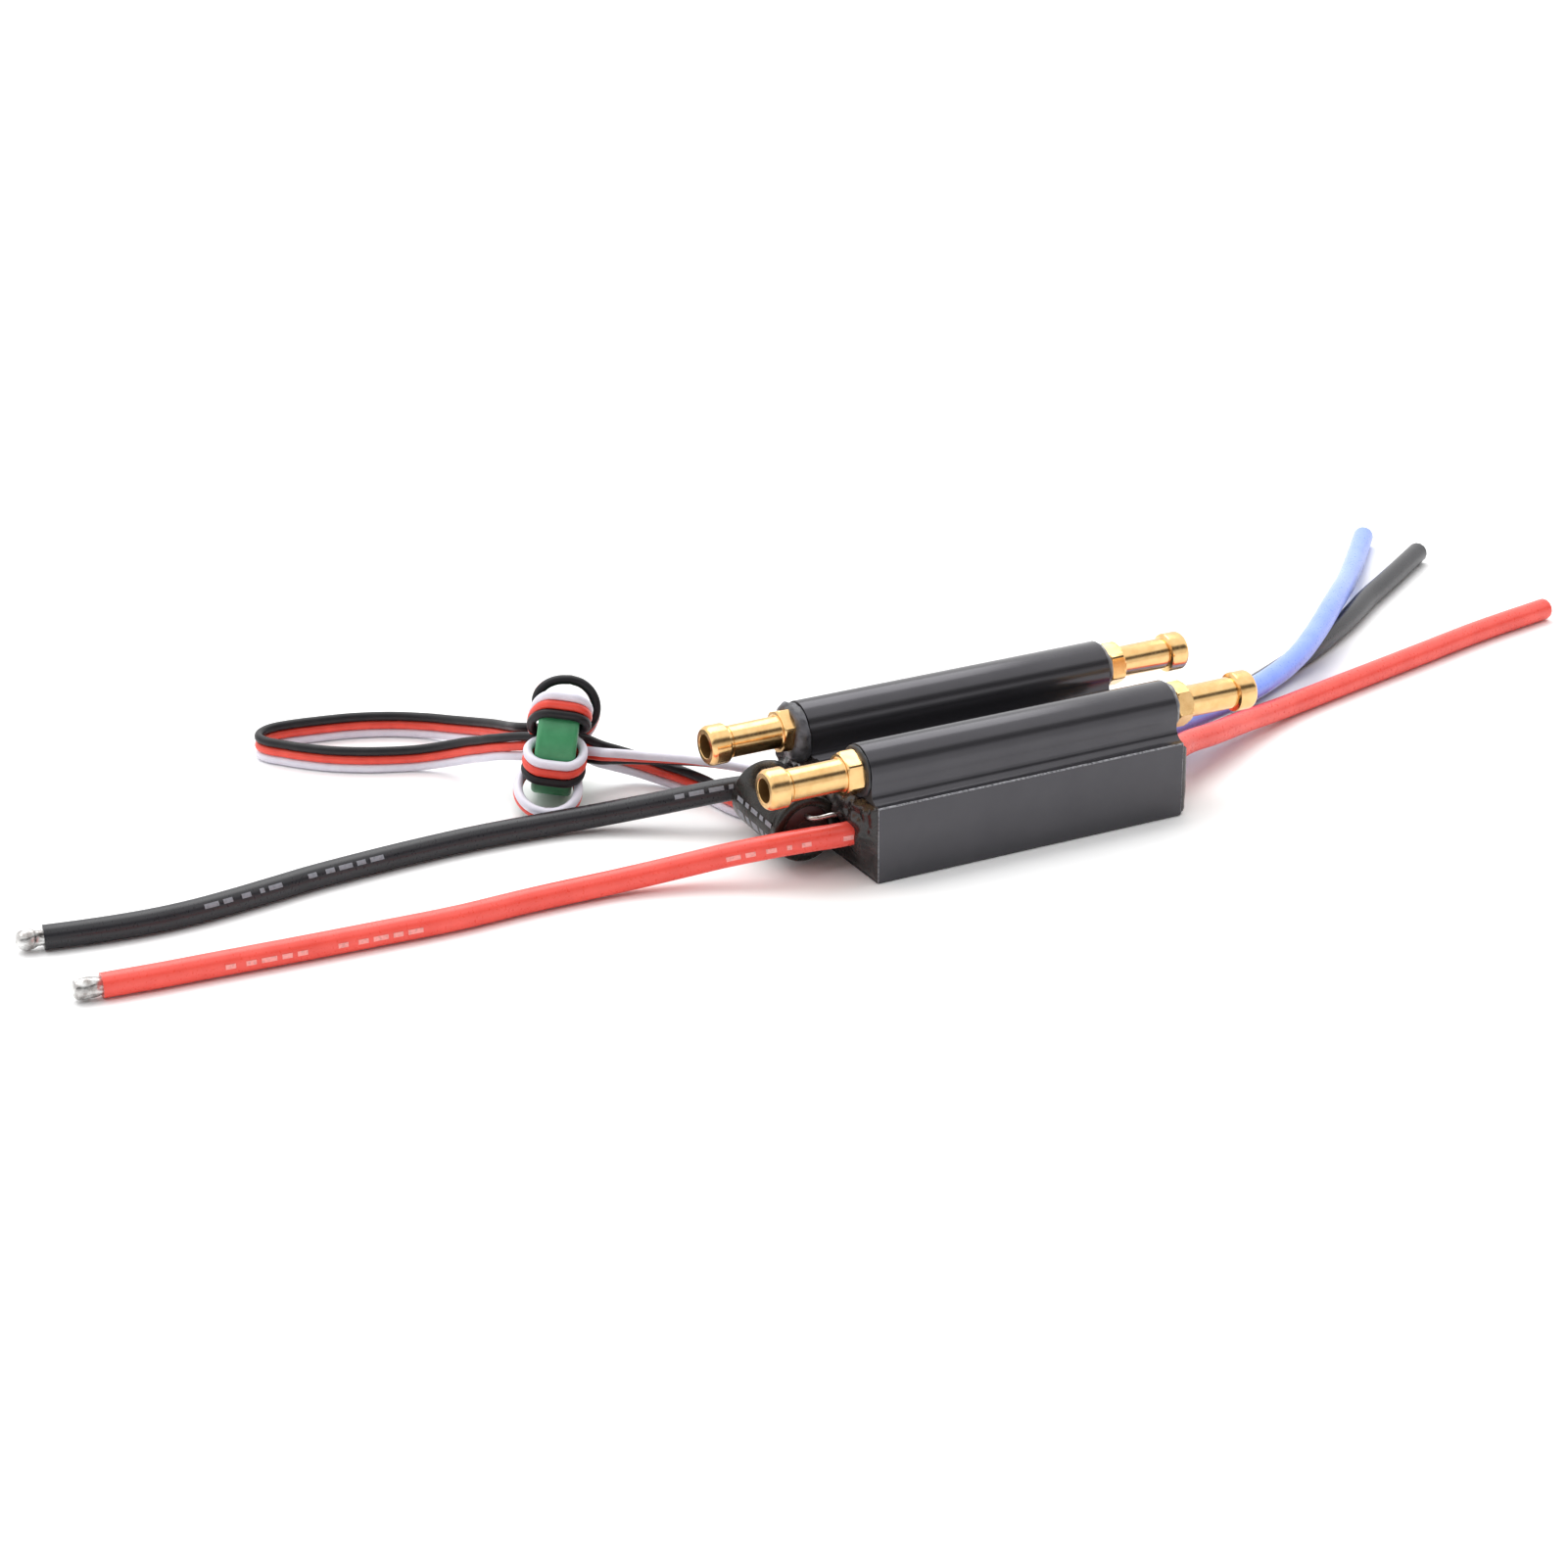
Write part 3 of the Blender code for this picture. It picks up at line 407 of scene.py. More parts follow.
def ribbon_finish(name, colour, shade, gloss=0.5):
    """PVC insulation of a thin ribbon core, half gloss."""
    return make_finish(
        name, colour, 0.36, gloss=gloss, shades=((0.6,), colour, shade), rough=((4.0,), 0.3, 0.44),
        bumps=(((3.0,), 0.008, 0.35),),
    )


def marking_finish(name, colour):
    worn = tuple(0.75 * part for part in colour)
    return make_finish(name, colour, 0.55, shades=((3.0, 2.0), colour, worn, 0.45, 0.7))


# Satin extrusion with fine die lines along X, its rubbed edges and its sawn ends.
DIE_LINES = (6.0, 2.0, (0.012, 1.0, 1.0))
ANODISED = make_finish(
    "black anodised aluminium", (0.064, 0.062, 0.069), 0.3, 0.6,
    shades=((0.25,), (0.061, 0.059, 0.066), (0.067, 0.065, 0.072)), rough=(DIE_LINES, 0.20, 0.24),
    bumps=((DIE_LINES, 0.0005, 0.4), ((12.0,), 0.002, 0.4)),
)
WORN_EDGE = make_finish(
    "rubbed anodised edge", (0.30, 0.30, 0.32), 0.4, 0.6,
    shades=((3.0,), (0.10, 0.10, 0.11), (0.34, 0.34, 0.36), 0.35, 0.6),
)
SAW_LINES = (5.0, 3.0, (1.0, 0.05, 1.0))
SAW_CUT = make_finish(
    "saw-cut anodised end", (0.035, 0.033, 0.033), 0.4, 0.3, rough=(SAW_LINES, 0.32, 0.5),
    bumps=((SAW_LINES, 0.006, 0.5),),
)

# Turned brass with fine tool rings round the axis and slight tarnish, and its shaded bore.
TOOL_RINGS = (14.0, 2.0, (1.0, 0.02, 0.02))
BRASS = make_finish(
    "turned brass", (0.80, 0.52, 0.23), 0.2, 1.0,
    shades=((0.8, 4.0), (0.82, 0.53, 0.24), (0.70, 0.41, 0.16), 0.4, 0.8), rough=(TOOL_RINGS, 0.17, 0.26),
    bumps=((TOOL_RINGS, 0.0015, 0.5),),
)
BORE = make_finish("shaded brass bore", (0.30, 0.17, 0.06), 0.45, 0.9, rough=((8.0,), 0.4, 0.6))

BLACK_SEALANT = sealant_finish("black sealant", (0.016, 0.016, 0.018), (0.035, 0.035, 0.04))
DARK_SEALANT = sealant_finish("dark grey sealant", (0.05, 0.05, 0.056), (0.13, 0.13, 0.15))
PALE_SEALANT = sealant_finish("pale grey sealant", (0.16, 0.16, 0.18), (0.36, 0.35, 0.34))

# Black epoxy, wet gloss, with a faint red-brown depth.
POTTING = make_finish(
    "black potting epoxy", (0.016, 0.013, 0.013), 0.2,
    shades=((0.4,), (0.012, 0.011, 0.011), (0.034, 0.022, 0.022), 0.4, 0.7), rough=((0.9,), 0.12, 0.34),
    bumps=(((0.8, 2.0), 0.05, 0.5),),
)

# The capacitor's shrunk film, can and bung.
FILM = make_finish(
    "capacitor film", (0.012, 0.010, 0.008), 0.28, gloss=0.3,
    shades=((0.4,), (0.010, 0.009, 0.008), (0.020, 0.017, 0.014)), rough=((1.2,), 0.2, 0.32),
    bumps=(((0.9, 2.0), 0.02, 0.35),),
)
CAN = make_finish("bare aluminium", (0.75, 0.75, 0.77), 0.35, 1.0, rough=((6.0,), 0.28, 0.42))
BUNG = make_finish(
    "maroon-black rubber bung", (0.05, 0.016, 0.016), 0.5, rough=((5.0,), 0.42, 0.62),
    bumps=(((8.0,), 0.01, 0.4),),
)

# Tinned copper, silver with duller patches.
TINNED = make_finish(
    "tinned copper", (0.52, 0.52, 0.51), 0.3, 1.0,
    shades=((0.9,), (0.70, 0.70, 0.69), (0.30, 0.28, 0.27), 0.38, 0.66), rough=((3.0,), 0.22, 0.42),
)
RED_SILICONE = silicone_finish("red silicone", (0.88, 0.095, 0.07), (0.78, 0.07, 0.05))
BLACK_SILICONE = silicone_finish("black silicone", (0.015, 0.015, 0.018), (0.021, 0.021, 0.025), 0.38)
BLUE_SILICONE = silicone_finish("blue silicone", (0.24, 0.36, 0.95), (0.20, 0.31, 0.88))
WHITE_PVC = ribbon_finish("white ribbon core", (0.72, 0.70, 0.78), (0.66, 0.64, 0.73))
RED_PVC = ribbon_finish("red ribbon core", (0.80, 0.07, 0.04), (0.68, 0.05, 0.03))
BLACK_PVC = ribbon_finish("black ribbon core", (0.011, 0.011, 0.013), (0.017, 0.016, 0.018), 0.25)
PALE_MARK = marking_finish("pale marks", (0.22, 0.23, 0.26))
PINK_MARK = marking_finish("light marks on red", (0.92, 0.34, 0.31))

# Green epoxy coat on ferrite, with orange peel.
FERRITE = make_finish(
    "green ferrite coat", (0.04, 0.24, 0.10), 0.38,
    shades=((0.6, 5.0), (0.034, 0.22, 0.088), (0.055, 0.275, 0.12)), rough=((3.0,), 0.3, 0.48),
    bumps=(((2.2,), 0.03, 0.45),),
)
PLASTIC = make_finish(
    "moulded black plastic", (0.022, 0.022, 0.023), 0.42, rough=((5.0,), 0.36, 0.5),
    bumps=(((10.0,), 0.006, 0.4),),
)
BOARD = make_finish("green solder mask", (0.02, 0.12, 0.05), 0.3, rough=((2.0,), 0.25, 0.4))
PAD = make_finish("thermal pad", (0.30, 0.33, 0.37), 0.8, bumps=(((5.0,), 0.02, 0.4),))
FLOOR = make_finish("pale floor", (0.95, 0.95, 0.95), 0.7, gloss=0.1)


# ---- camera, light and floor

def make_camera():
    azimuth = math.radians(CAMERA_AZIMUTH)
    elevation = math.radians(CAMERA_ELEVATION)
    roll = math.radians(CAMERA_ROLL)
    level_reach = math.cos(elevation)
    back = Vector((math.sin(azimuth) * level_reach, -math.cos(azimuth) * level_reach, math.sin(elevation)))
    level = Vector((math.cos(azimuth), math.sin(azimuth), 0.0))
    upright = back.cross(level)
    right = level * math.cos(roll) + upright * math.sin(roll)
    up = upright * math.cos(roll) - level * math.sin(roll)
    data = bpy.data.cameras.new("camera")
    data.lens = CAMERA_LENS
    data.sensor_width = 36.0
    data.clip_start = 0.01
    data.clip_end = 20.0
    camera = linked("camera", data)
    turn = Matrix((right, up, back)).transposed().to_4x4()
    place = metres(back * CAMERA_BACK - right * CAMERA_LEFT + up * CAMERA_RISE)
    camera.matrix_world = Matrix.Translation(place) @ turn
    bpy.context.scene.camera = camera


def make_softbox():
    """A soft light above and behind the object, aimed at it."""
    data = bpy.data.lights.new("top softbox", "AREA")
    data.shape = "RECTANGLE"
    data.size = 0.8
    data.size_y = 0.45
    data.energy = 2.8
    light = linked("top softbox", data)
    light.location = (0.0, 0.30, 0.55)
    light.rotation_mode = "QUATERNION"
    light.rotation_quaternion = (-light.location).to_track_quat("-Z", "Y")


def make_tent(world):
    """A white light tent, with a dark slit in front that leaves black bands on the gloss."""
    tree = world.node_tree
    sky = tree.nodes["Background"]
    place = tree.nodes.new("ShaderNodeTexCoord")
    parts = tree.nodes.new("ShaderNodeSeparateXYZ")
    angle = tree.nodes.new("ShaderNodeMath")
    angle.operation = "ARCTAN2"
    share = tree.nodes.new("ShaderNodeMapRange")
    share.inputs["From Min"].default_value = -math.pi / 2
    share.inputs["From Max"].default_value = math.pi / 2
    ramp = tree.nodes.new("ShaderNodeValToRGB")
    while len(ramp.color_ramp.elements) < len(TENT_LEVELS):
        ramp.color_ramp.elements.new(0.5)
    for element, (position, level) in zip(ramp.color_ramp.elements, TENT_LEVELS):
        element.position = position
        element.color = (level, level, level, 1.0)
    tree.links.new(place.outputs["Generated"], parts.inputs["Vector"])
    tree.links.new(parts.outputs["Y"], angle.inputs[0])
    tree.links.new(parts.outputs["Z"], angle.inputs[1])
    tree.links.new(angle.outputs["Value"], share.inputs["Value"])
    tree.links.new(share.outputs["Result"], ramp.inputs["Fac"])
    tree.links.new(ramp.outputs["Color"], sky.inputs["Color"])
    sky.inputs["Strength"].default_value = TENT_STRENGTH


def make_studio():
    scene = bpy.context.scene
    scene.view_settings.view_transform = "Standard"
    world = bpy.data.worlds.new("studio")
    world.use_nodes = True
    make_tent(world)
    scene.world = world
    make_softbox()
    bm = bmesh.new()
    bmesh.ops.create_grid(bm, x_segments=1, y_segments=1, size=6.0)
    floor = new_piece("floor", mesh_from("floor", bm), [FLOOR], shown=False)


# ---- housing

def housing_outline():
    """Cross-section as (y, z) points, with small rounds on the long edges."""
    tube_wall = TUBE_RADIUS * math.cos(math.radians(TUBE_WALL_DIP))
    flare_width = HALF_WIDTH - TUBE_Y - tube_wall
    flare_top = SIDE_HEIGHT + FLARE_HEIGHT
    valley_edge = TUBE_Y - tube_wall - FLARE_HEIGHT
    rounding = 0.18
    half = arc((HALF_WIDTH - 2 * rounding, 2 * rounding), 2 * rounding, -90.0, 0.0, 4)
    half += arc((HALF_WIDTH - rounding, SIDE_HEIGHT - rounding), rounding, 0.0, 80.0, 4)
    for y, z in arc((0.0, 0.0), 1.0, 74.0, 6.0, 14):
        half.append((HALF_WIDTH - flare_width * y, flare_top - FLARE_HEIGHT * z))
    half += arc((TUBE_Y, TUBE_Z), TUBE_RADIUS, -TUBE_WALL_DIP, 180.0 + TUBE_WALL_DIP, 60)
    for y, z in arc((0.0, 0.0), 1.0, 6.0, 90.0, 12):
        half.append((valley_edge + FLARE_HEIGHT * y, flare_top - FLARE_HEIGHT * z))
    return half + [(-y, z) for y, z in reversed(half)]


def cavity_outline():
    rounding = 0.5
    low, high = CAVITY_FLOOR + rounding, CAVITY_TOP - rounding
    reach = CAVITY_HALF_WIDTH - rounding
    points = arc((reach, low), rounding, -90.0, 0.0, 5) + arc((reach, high), rounding, 0.0, 90.0, 5)
    points += arc((-reach, high), rounding, 90.0, 180.0, 5) + arc((-reach, low), rounding, 180.0, 270.0, 5)
    return points


def make_housing():
    curve = bpy.data.curves.new("housing", "CURVE")
    curve.dimensions = "2D"
    curve.fill_mode = "BOTH"
    curve.extrude = (END_X - EDGE) * MM
    curve.bevel_depth = EDGE * MM
    curve.bevel_resolution = 2
    curve.offset = -EDGE * MM
    bores = [arc((side * TUBE_Y, TUBE_Z), TUBE_BORE_RADIUS, 0.0, 352.5, 47) for side in (-1, 1)]
    for outline in (housing_outline(), cavity_outline(), *bores):
        spline = curve.splines.new("POLY")
        spline.points.add(len(outline) - 1)
        for place, (across, up) in zip(spline.points, outline):
            place.co = (across * MM, up * MM, 0.0, 1.0)
        spline.use_cyclic_u = True
    form = linked("housing form", curve)
    mesh = bpy.data.meshes.new_from_object(form.evaluated_get(bpy.context.evaluated_depsgraph_get()))
    bpy.data.objects.remove(form)
    mesh.materials.clear()
    # The outline's own X and Y become the housing's Y and Z, and its thickness runs along X.
    mesh.transform(Matrix(((0, 0, 1, 0), (1, 0, 0, 0), (0, 1, 0, 0), (0, 0, 0, 1))))
    bm = bmesh.new()
    bm.from_mesh(mesh)
    bmesh.ops.remove_doubles(bm, verts=bm.verts, dist=0.000001)
    bmesh.ops.recalc_face_normals(bm, faces=bm.faces)
    for face in bm.faces:
        middle = face.calc_center_median() / MM
        outer_x = max(abs(vert.co.x) for vert in face.verts) / MM
        inner_x = min(abs(vert.co.x) for vert in face.verts) / MM
        on_side = abs(middle.y) > HALF_WIDTH - 0.3
        if abs(face.normal.x) > 0.95:
            face.material_index = 2
        elif inner_x > END_X - 1.5 * EDGE and outer_x > inner_x and on_side:
            face.material_index = 1
        elif on_side and SIDE_HEIGHT - 0.2 < middle.z < SIDE_HEIGHT + 0.05:
            face.material_index = 1
    bm.to_mesh(mesh)
    bm.free()
    smooth(mesh, 28.0)
    housing = new_piece("housing_extrusion", mesh, [ANODISED, WORN_EDGE, SAW_CUT])
    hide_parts("housing")


# ---- nipples and sealant

def end_frame(end, side):
    turn = Matrix.Rotation(math.radians(90.0 * end), 4, "Y")
    return Matrix.Translation(metres((end * END_X, side * TUBE_Y, TUBE_Z))) @ turn


def nipple_places():
    for end, end_name in ((-1, "battery_end"), (1, "motor_end")):
        for side, side_name in ((-1, "right"), (1, "left")):
            yield f"{end_name}_{side_name}", end, side


def nut_mesh(turn, nearer):
    """Hexagon with its corners turned down to a chamfer at both ends."""
    steps = 72
    flat = NUT_ACROSS_FLATS / 2
    start, end = NUT_START - nearer, NUT_END - nearer
    heights = [start, start + 0.15, start + 0.3, end - 0.35, end - 0.15, end]
    limits = [flat * 1.03, flat * 1.1, flat * 1.16, flat * 1.16, flat * 1.09, flat * 1.01]
    bm = bmesh.new()
    rings = []
    for height, limit in zip(heights, limits):
        ring = []
        for step in range(steps):
            angle = 2 * math.pi * step / steps
            off_flat = (angle + turn) % (math.pi / 3) - math.pi / 6
            radius = min(flat / math.cos(off_flat), limit)
            across, along = radius * math.cos(angle), radius * math.sin(angle)
            ring.append(bm.verts.new((across * MM, along * MM, height * MM)))
        rings.append(ring)
    skin(bm, rings)
    bm.faces.new(rings[0])
    bm.faces.new(rings[-1])
    return bm


def make_nipples():
    # Each hexagon's turn in degrees, and how far it sits nearer to the housing than the others.
    settings = {
        "battery_end_right": (52.0, 0.4), "battery_end_left": (8.0, 0.0), "motor_end_right": (20.0, 0.0),
        "motor_end_left": (8.0, 0.0),
    }
    for ending, end, side in nipple_places():
        turn, nearer = settings[ending]
        nut_end = NUT_END - nearer
        neck = BARREL_RADIUS - 0.10
        stub = TUBE_BORE_RADIUS - 0.05
        profile = [
            (NIPPLE_BORE, NIPPLE_END - 0.06), (NIPPLE_BORE + 0.07, NIPPLE_END),
            (BARB_RADIUS - 0.40, NIPPLE_END - 0.02), (BARB_RADIUS - 0.28, NIPPLE_END - 0.10),
            (BARB_RADIUS - 0.10, NIPPLE_END - 0.34), (BARB_RADIUS - 0.02, NIPPLE_END - 0.55),
            (BARB_RADIUS, NIPPLE_END - 0.75), (BARB_RADIUS, BARB_START + 0.30),
            (BARB_RADIUS - 0.07, BARB_START + 0.12), (BARREL_RADIUS + 0.10, BARB_START - 0.04),
            (neck, BARB_START - 0.10), (neck, BARB_START - 0.34), (BARREL_RADIUS, BARB_START - 0.42),
            (BARREL_RADIUS, nut_end + 0.35), (BARREL_RADIUS + 0.06, nut_end + 0.10),
            (BARREL_RADIUS + 0.25, nut_end - 0.02), (BARREL_RADIUS, NUT_START - nearer),
            (stub, NUT_START - nearer), (stub, -STUB_LENGTH), (NIPPLE_BORE, -STUB_LENGTH),
        ]
        name = f"hose_nipple_{ending}"
        body = turned_mesh(name, profile, 72)
        for face in body.polygons:
            reach = max(math.hypot(*body.vertices[i].co.xy) for i in face.vertices) / MM
            face.material_index = int(reach < NIPPLE_BORE + 0.02)
        bm = nut_mesh(math.radians(turn), nearer)
        bm.from_mesh(body)
        mesh = mesh_from(name, bm)
        bpy.data.meshes.remove(body)
        smooth(mesh, 20.0)
        mesh.transform(end_frame(end, side))
        nipple = new_piece(name, mesh, [BRASS, BORE])
        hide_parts(f"nipple_{ending}")


def lumpy_ring(name, inner, outer, start, end, lumps, seed, droop=0.0):
    """A bead of sealant round a tube's end, uneven in width and thickness."""
    bm = bmesh.new()
    steps, sections = 96, 20
    rings = []
    for step in range(steps):
        angle = 2 * math.pi * step / steps
        way = Vector((math.cos(angle), math.sin(angle), 0.0))
        ring = []
        for section in range(sections):
            turn = 2 * math.pi * section / sections
            across = (inner + outer) / 2 + (outer - inner) / 2 * math.cos(turn)
            along = (start + end) / 2 + (end - start) / 2 * math.sin(turn)
            sample = way * 1.4 + Vector((seed, math.cos(turn) * 0.6, math.sin(turn) * 0.6))
            swell = noise.noise(sample) * lumps + noise.noise(sample * 2.7) * lumps * 0.45
            swell += droop * max(0.0, -way.x - way.y) ** 2
            weight = max(0.0, math.cos(turn)) + 0.35
            across += swell * weight * 0.8
            along += swell * 0.5 * max(0.0, math.sin(turn))
            ring.append(bm.verts.new(way * across * MM + Vector((0.0, 0.0, along * MM))))
        rings.append(ring)
    skin(bm, rings + rings[:1])
    return mesh_from(name, bm)


def make_sealant():
    sizes = {
        "battery_end_right": (BLACK_SEALANT, 3.25, 0.42, 0.20, 3.0, 0.0),
        "battery_end_left": (DARK_SEALANT, 3.45, 1.45, 0.45, 8.0, 0.55),
        "motor_end_right": (PALE_SEALANT, 3.0, 0.85, 0.20, 13.0, 0.0),
        "motor_end_left": (PALE_SEALANT, 3.0, 0.85, 0.20, 21.0, 0.0),
    }
    for ending, end, side in nipple_places():
        finish, outer, thickness, lumps, seed, droop = sizes[ending]
        mesh = lumpy_ring(f"sealant_bead_{ending}", 1.9, outer, -0.05, thickness, lumps, seed, droop)
        smooth(mesh, 60.0)
        mesh.transform(end_frame(end, side))
        bead = new_piece(mesh.name, mesh, [finish])
        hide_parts(f"sealant_{ending}")


# ---- potting

def bell(distance, reach):
    """1 at no distance, falling smoothly to 0 at the reach."""
    share = min(1.0, abs(distance) / reach)
    return (1.0 - share * share) ** 2


def capacitor_room(y, z):
    """How far potting at (y, z) may stand off the battery end before it meets the capacitor."""
    if not CAPACITOR_NEAR_Y - 0.3 < y < CAPACITOR_NEAR_Y + CAPACITOR_LENGTH + 0.3:
        return 9.0
    centre_z = CAPACITOR_Z + (y - CAPACITOR_NEAR_Y) * math.sin(math.radians(CAPACITOR_TILT))
    drop = SLEEVE_RADIUS**2 - (z - centre_z) ** 2
    return 9.0 if drop < 0.0 else -CAPACITOR_X - END_X - math.sqrt(drop) + 0.05


def battery_end_height(y, z):
    lump = noise.noise(Vector((y * 0.55, z * 0.6, 4.0))) + 0.3 * noise.noise(Vector((y * 1.1, z * 1.2, 9.0)))
    upper = min(1.0, max(0.0, (z - 3.6) / 2.2))
    height = 0.15 + upper * (0.65 + 0.6 * lump)
    height += 0.9 * bell(z - 8.3, 2.6) * bell(y + 1.0, 11.5)
    height += 1.15 * bell(math.hypot(y + 8.2, z - 4.9), 3.8)
    height += 0.9 * bell(math.hypot(y - 9.2, z - 5.4), 3.1)
    height += 0.5 * bell(math.hypot(y - 9.2, z - 1.9), 2.6)
    height += 0.8 * bell(math.hypot(y + 5.3, z - 6.7), 1.9)
    edge = min(1.0, (12.3 - abs(y)) / 0.6, (z - 0.35) / 0.6, (10.6 - 0.08 * abs(y) - z) / 0.8)
    height *= max(0.0, edge) ** 0.5
    return max(0.0, min(height, capacitor_room(y, z)))


def motor_end_height(y, z):
    height = 0.92 + 0.16 * noise.noise(Vector((y * 0.4, z * 0.5, 31.0)))
    for wire_y in (-5.2, 0.0, 5.2):
        height += 0.45 * bell(math.hypot(y - wire_y, z - 5.2), 2.6)
    edge = min(1.0, (12.42 - abs(y)) / 0.4, (z - 0.3) / 0.4, (9.3 - z) / 0.6)
    return max(0.0, height * max(0.0, edge) ** 0.5)


def make_potting():
    """A height field over each end of the cavity, with its rim turned back into the housing."""
    for end, name, height, top in (
        (-1, "battery_end_potting", battery_end_height, 10.7),
        (1, "motor_end_potting", motor_end_height, 9.4),
    ):
        bm = bmesh.new()
        front = []
        for row in range(POTTING_ROWS + 1):
            z = POTTING_BOTTOM + (top - POTTING_BOTTOM) * row / POTTING_ROWS
            line = []
            for column in range(POTTING_COLUMNS + 1):
                y = POTTING_HALF_WIDTH * (2 * column / POTTING_COLUMNS - 1)
                x = end * (POTTING_BASE + height(y, z))
                line.append(bm.verts.new(metres((x, y, z))))
            front.append(line)
        skin(bm, front, rings=False)
        mesh = mesh_from(f"{name}_face", bm)
        solid = bmesh.new()
        solid.from_mesh(mesh)
        bare = [face for face in solid.faces if face_is_bare(face)]
        bmesh.ops.delete(solid, geom=bare, context="FACES")
        rim = [edge for edge in solid.edges if edge.is_boundary]
        made = bmesh.ops.extrude_edge_only(solid, edges=rim)
        for vert in (item for item in made["geom"] if isinstance(item, bmesh.types.BMVert)):
            vert.co.x = end * POTTING_BACK * MM
        solid.to_mesh(mesh)
        solid.free()
        mesh.shade_smooth()
        potting = new_piece(f"{name}_face", mesh, [POTTING])
        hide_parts(name)


def face_is_bare(face):
    """True where the height field lies on the housing with nothing poured on it."""
    return all(abs(vert.co.x) < (END_X - 0.02) * MM for vert in face.verts)


# ---- capacitor

def capacitor_frame():
    lie_down = Matrix.Rotation(math.radians(CAPACITOR_TILT - 90.0), 4, "X")
    return Matrix.Translation(metres((CAPACITOR_X, CAPACITOR_NEAR_Y, CAPACITOR_Z))) @ lie_down


def make_capacitor():
    lip = 0.45
    outside = SLEEVE_RADIUS
    profile = [
        (3.1, CAPACITOR_LENGTH - 0.02), (3.5, CAPACITOR_LENGTH),
        *arc((outside - lip, CAPACITOR_LENGTH - lip), lip, 80.0, 0.0, 5),
        (outside, 2.1), (outside - 0.10, 1.8), (outside - 0.22, 1.5), (outside - 0.10, 1.2), (outside, 0.95),
        *arc((outside - lip, lip), lip, 0.0, -90.0, 5),
        (3.25, 0.0), (3.0, 0.12), (2.95, 0.35), (3.0, 0.5), (3.6, 0.55), (3.6, CAPACITOR_LENGTH - 0.4),
        (3.1, CAPACITOR_LENGTH - 0.4),
    ]
    sleeve_mesh = turned_mesh("capacitor_film_sleeve", profile, 80)
    smooth(sleeve_mesh, 50.0)
    sleeve_mesh.transform(capacitor_frame())
    sleeve = new_piece("capacitor_film_sleeve", sleeve_mesh, [FILM])
    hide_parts("capacitor_sleeve")

    bm = bmesh.new()
    disc = turned_mesh("vented end", [
        (0.0, CAPACITOR_LENGTH - 0.12), (3.05, CAPACITOR_LENGTH - 0.12), (3.2, CAPACITOR_LENGTH - 0.3),
        (0.0, CAPACITOR_LENGTH - 0.3),
    ])
    bm.from_mesh(disc)
    bpy.data.meshes.remove(disc)
    for turn in (0.0, 60.0, 120.0):
        groove = bmesh.ops.create_cube(bm, size=1.0)["verts"]
        bmesh.ops.scale(bm, vec=metres((4.4, 0.14, 0.05)), verts=groove)
        bmesh.ops.rotate(bm, matrix=Matrix.Rotation(math.radians(turn), 3, "Z"), verts=groove)
        bmesh.ops.translate(bm, vec=metres((0.0, 0.0, CAPACITOR_LENGTH - 0.11)), verts=groove)
    mesh = mesh_from("capacitor_can_end", bm)
    smooth(mesh)
    mesh.transform(capacitor_frame())
    can = new_piece("capacitor_can_end", mesh, [CAN])
    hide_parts("capacitor_can")

    bung_profile = [
        (0.0, 0.30), (0.55, 0.32), (0.6, 0.22), (1.2, 0.22), (1.25, 0.32), (2.5, 0.28), (2.95, 0.42),
        (2.95, 2.0), (0.0, 2.0),
    ]
    bung_mesh = turned_mesh("capacitor_rubber_bung", bung_profile[::-1], 64)
    smooth(bung_mesh)
    bung_mesh.transform(capacitor_frame())
    bung = new_piece("capacitor_rubber_bung", bung_mesh, [BUNG])
    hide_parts("capacitor_bung")

    for name, height, end_x in (("positive", LEAD_PITCH / 2, -22.6), ("negative", -LEAD_PITCH / 2, -21.7)):
        z = CAPACITOR_Z + height
        route = [Vector(point) for point in (
            (CAPACITOR_X, CAPACITOR_NEAR_Y + 0.6, z), (CAPACITOR_X, CAPACITOR_NEAR_Y - 0.35, z),
            (CAPACITOR_X + 0.35, CAPACITOR_NEAR_Y - 0.92, z), (CAPACITOR_X + 1.1, CAPACITOR_NEAR_Y - 1.1, z),
            (-23.9, CAPACITOR_NEAR_Y - 1.15, z + 0.05), (end_x, CAPACITOR_NEAR_Y - 1.2, z - 0.1),
        )]
        path = [metres(point) for point in spaced(catmull(route, 12), 0.12)]
        curve = tube_curve(name, [path], LEAD_RADIUS * MM)
        lead = new_piece(f"capacitor_bent_lead_{name}", curve, [TINNED])
        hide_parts(f"capacitor_lead_{name}")


def make_capacitor_marks():
    """Plain pale dashes round the sleeve, where a maker would print."""
    bm = bmesh.new()
    for turn, spread in ((162.0, 8.0), (190.0, 4.0)):
        for start, length in CAPACITOR_DASHES:
            rows = []
            for i in range(6):
                height = start + length * i / 5
                row = []
                for j in range(6):
                    angle = math.radians(turn + spread * (2 * j / 5 - 1))
                    reach = (SLEEVE_RADIUS + 0.012) * MM
                    row.append(bm.verts.new((reach * math.cos(angle), reach * math.sin(angle), height * MM)))
                rows.append(row)
            skin(bm, rows, rings=False)
    mesh = mesh_from("capacitor_plain_marks", bm)
    mesh.transform(capacitor_frame())
    new_piece("capacitor_plain_marks", mesh, [PALE_MARK])


# ---- power wires

def wire_sides(path, index):
    ahead = (path[min(index + 1, len(path) - 1)] - path[max(index - 1, 0)]).normalized()
    side = ahead.cross(Vector((0.0, 0.0, 1.0))).normalized()
    return side, side.cross(ahead)


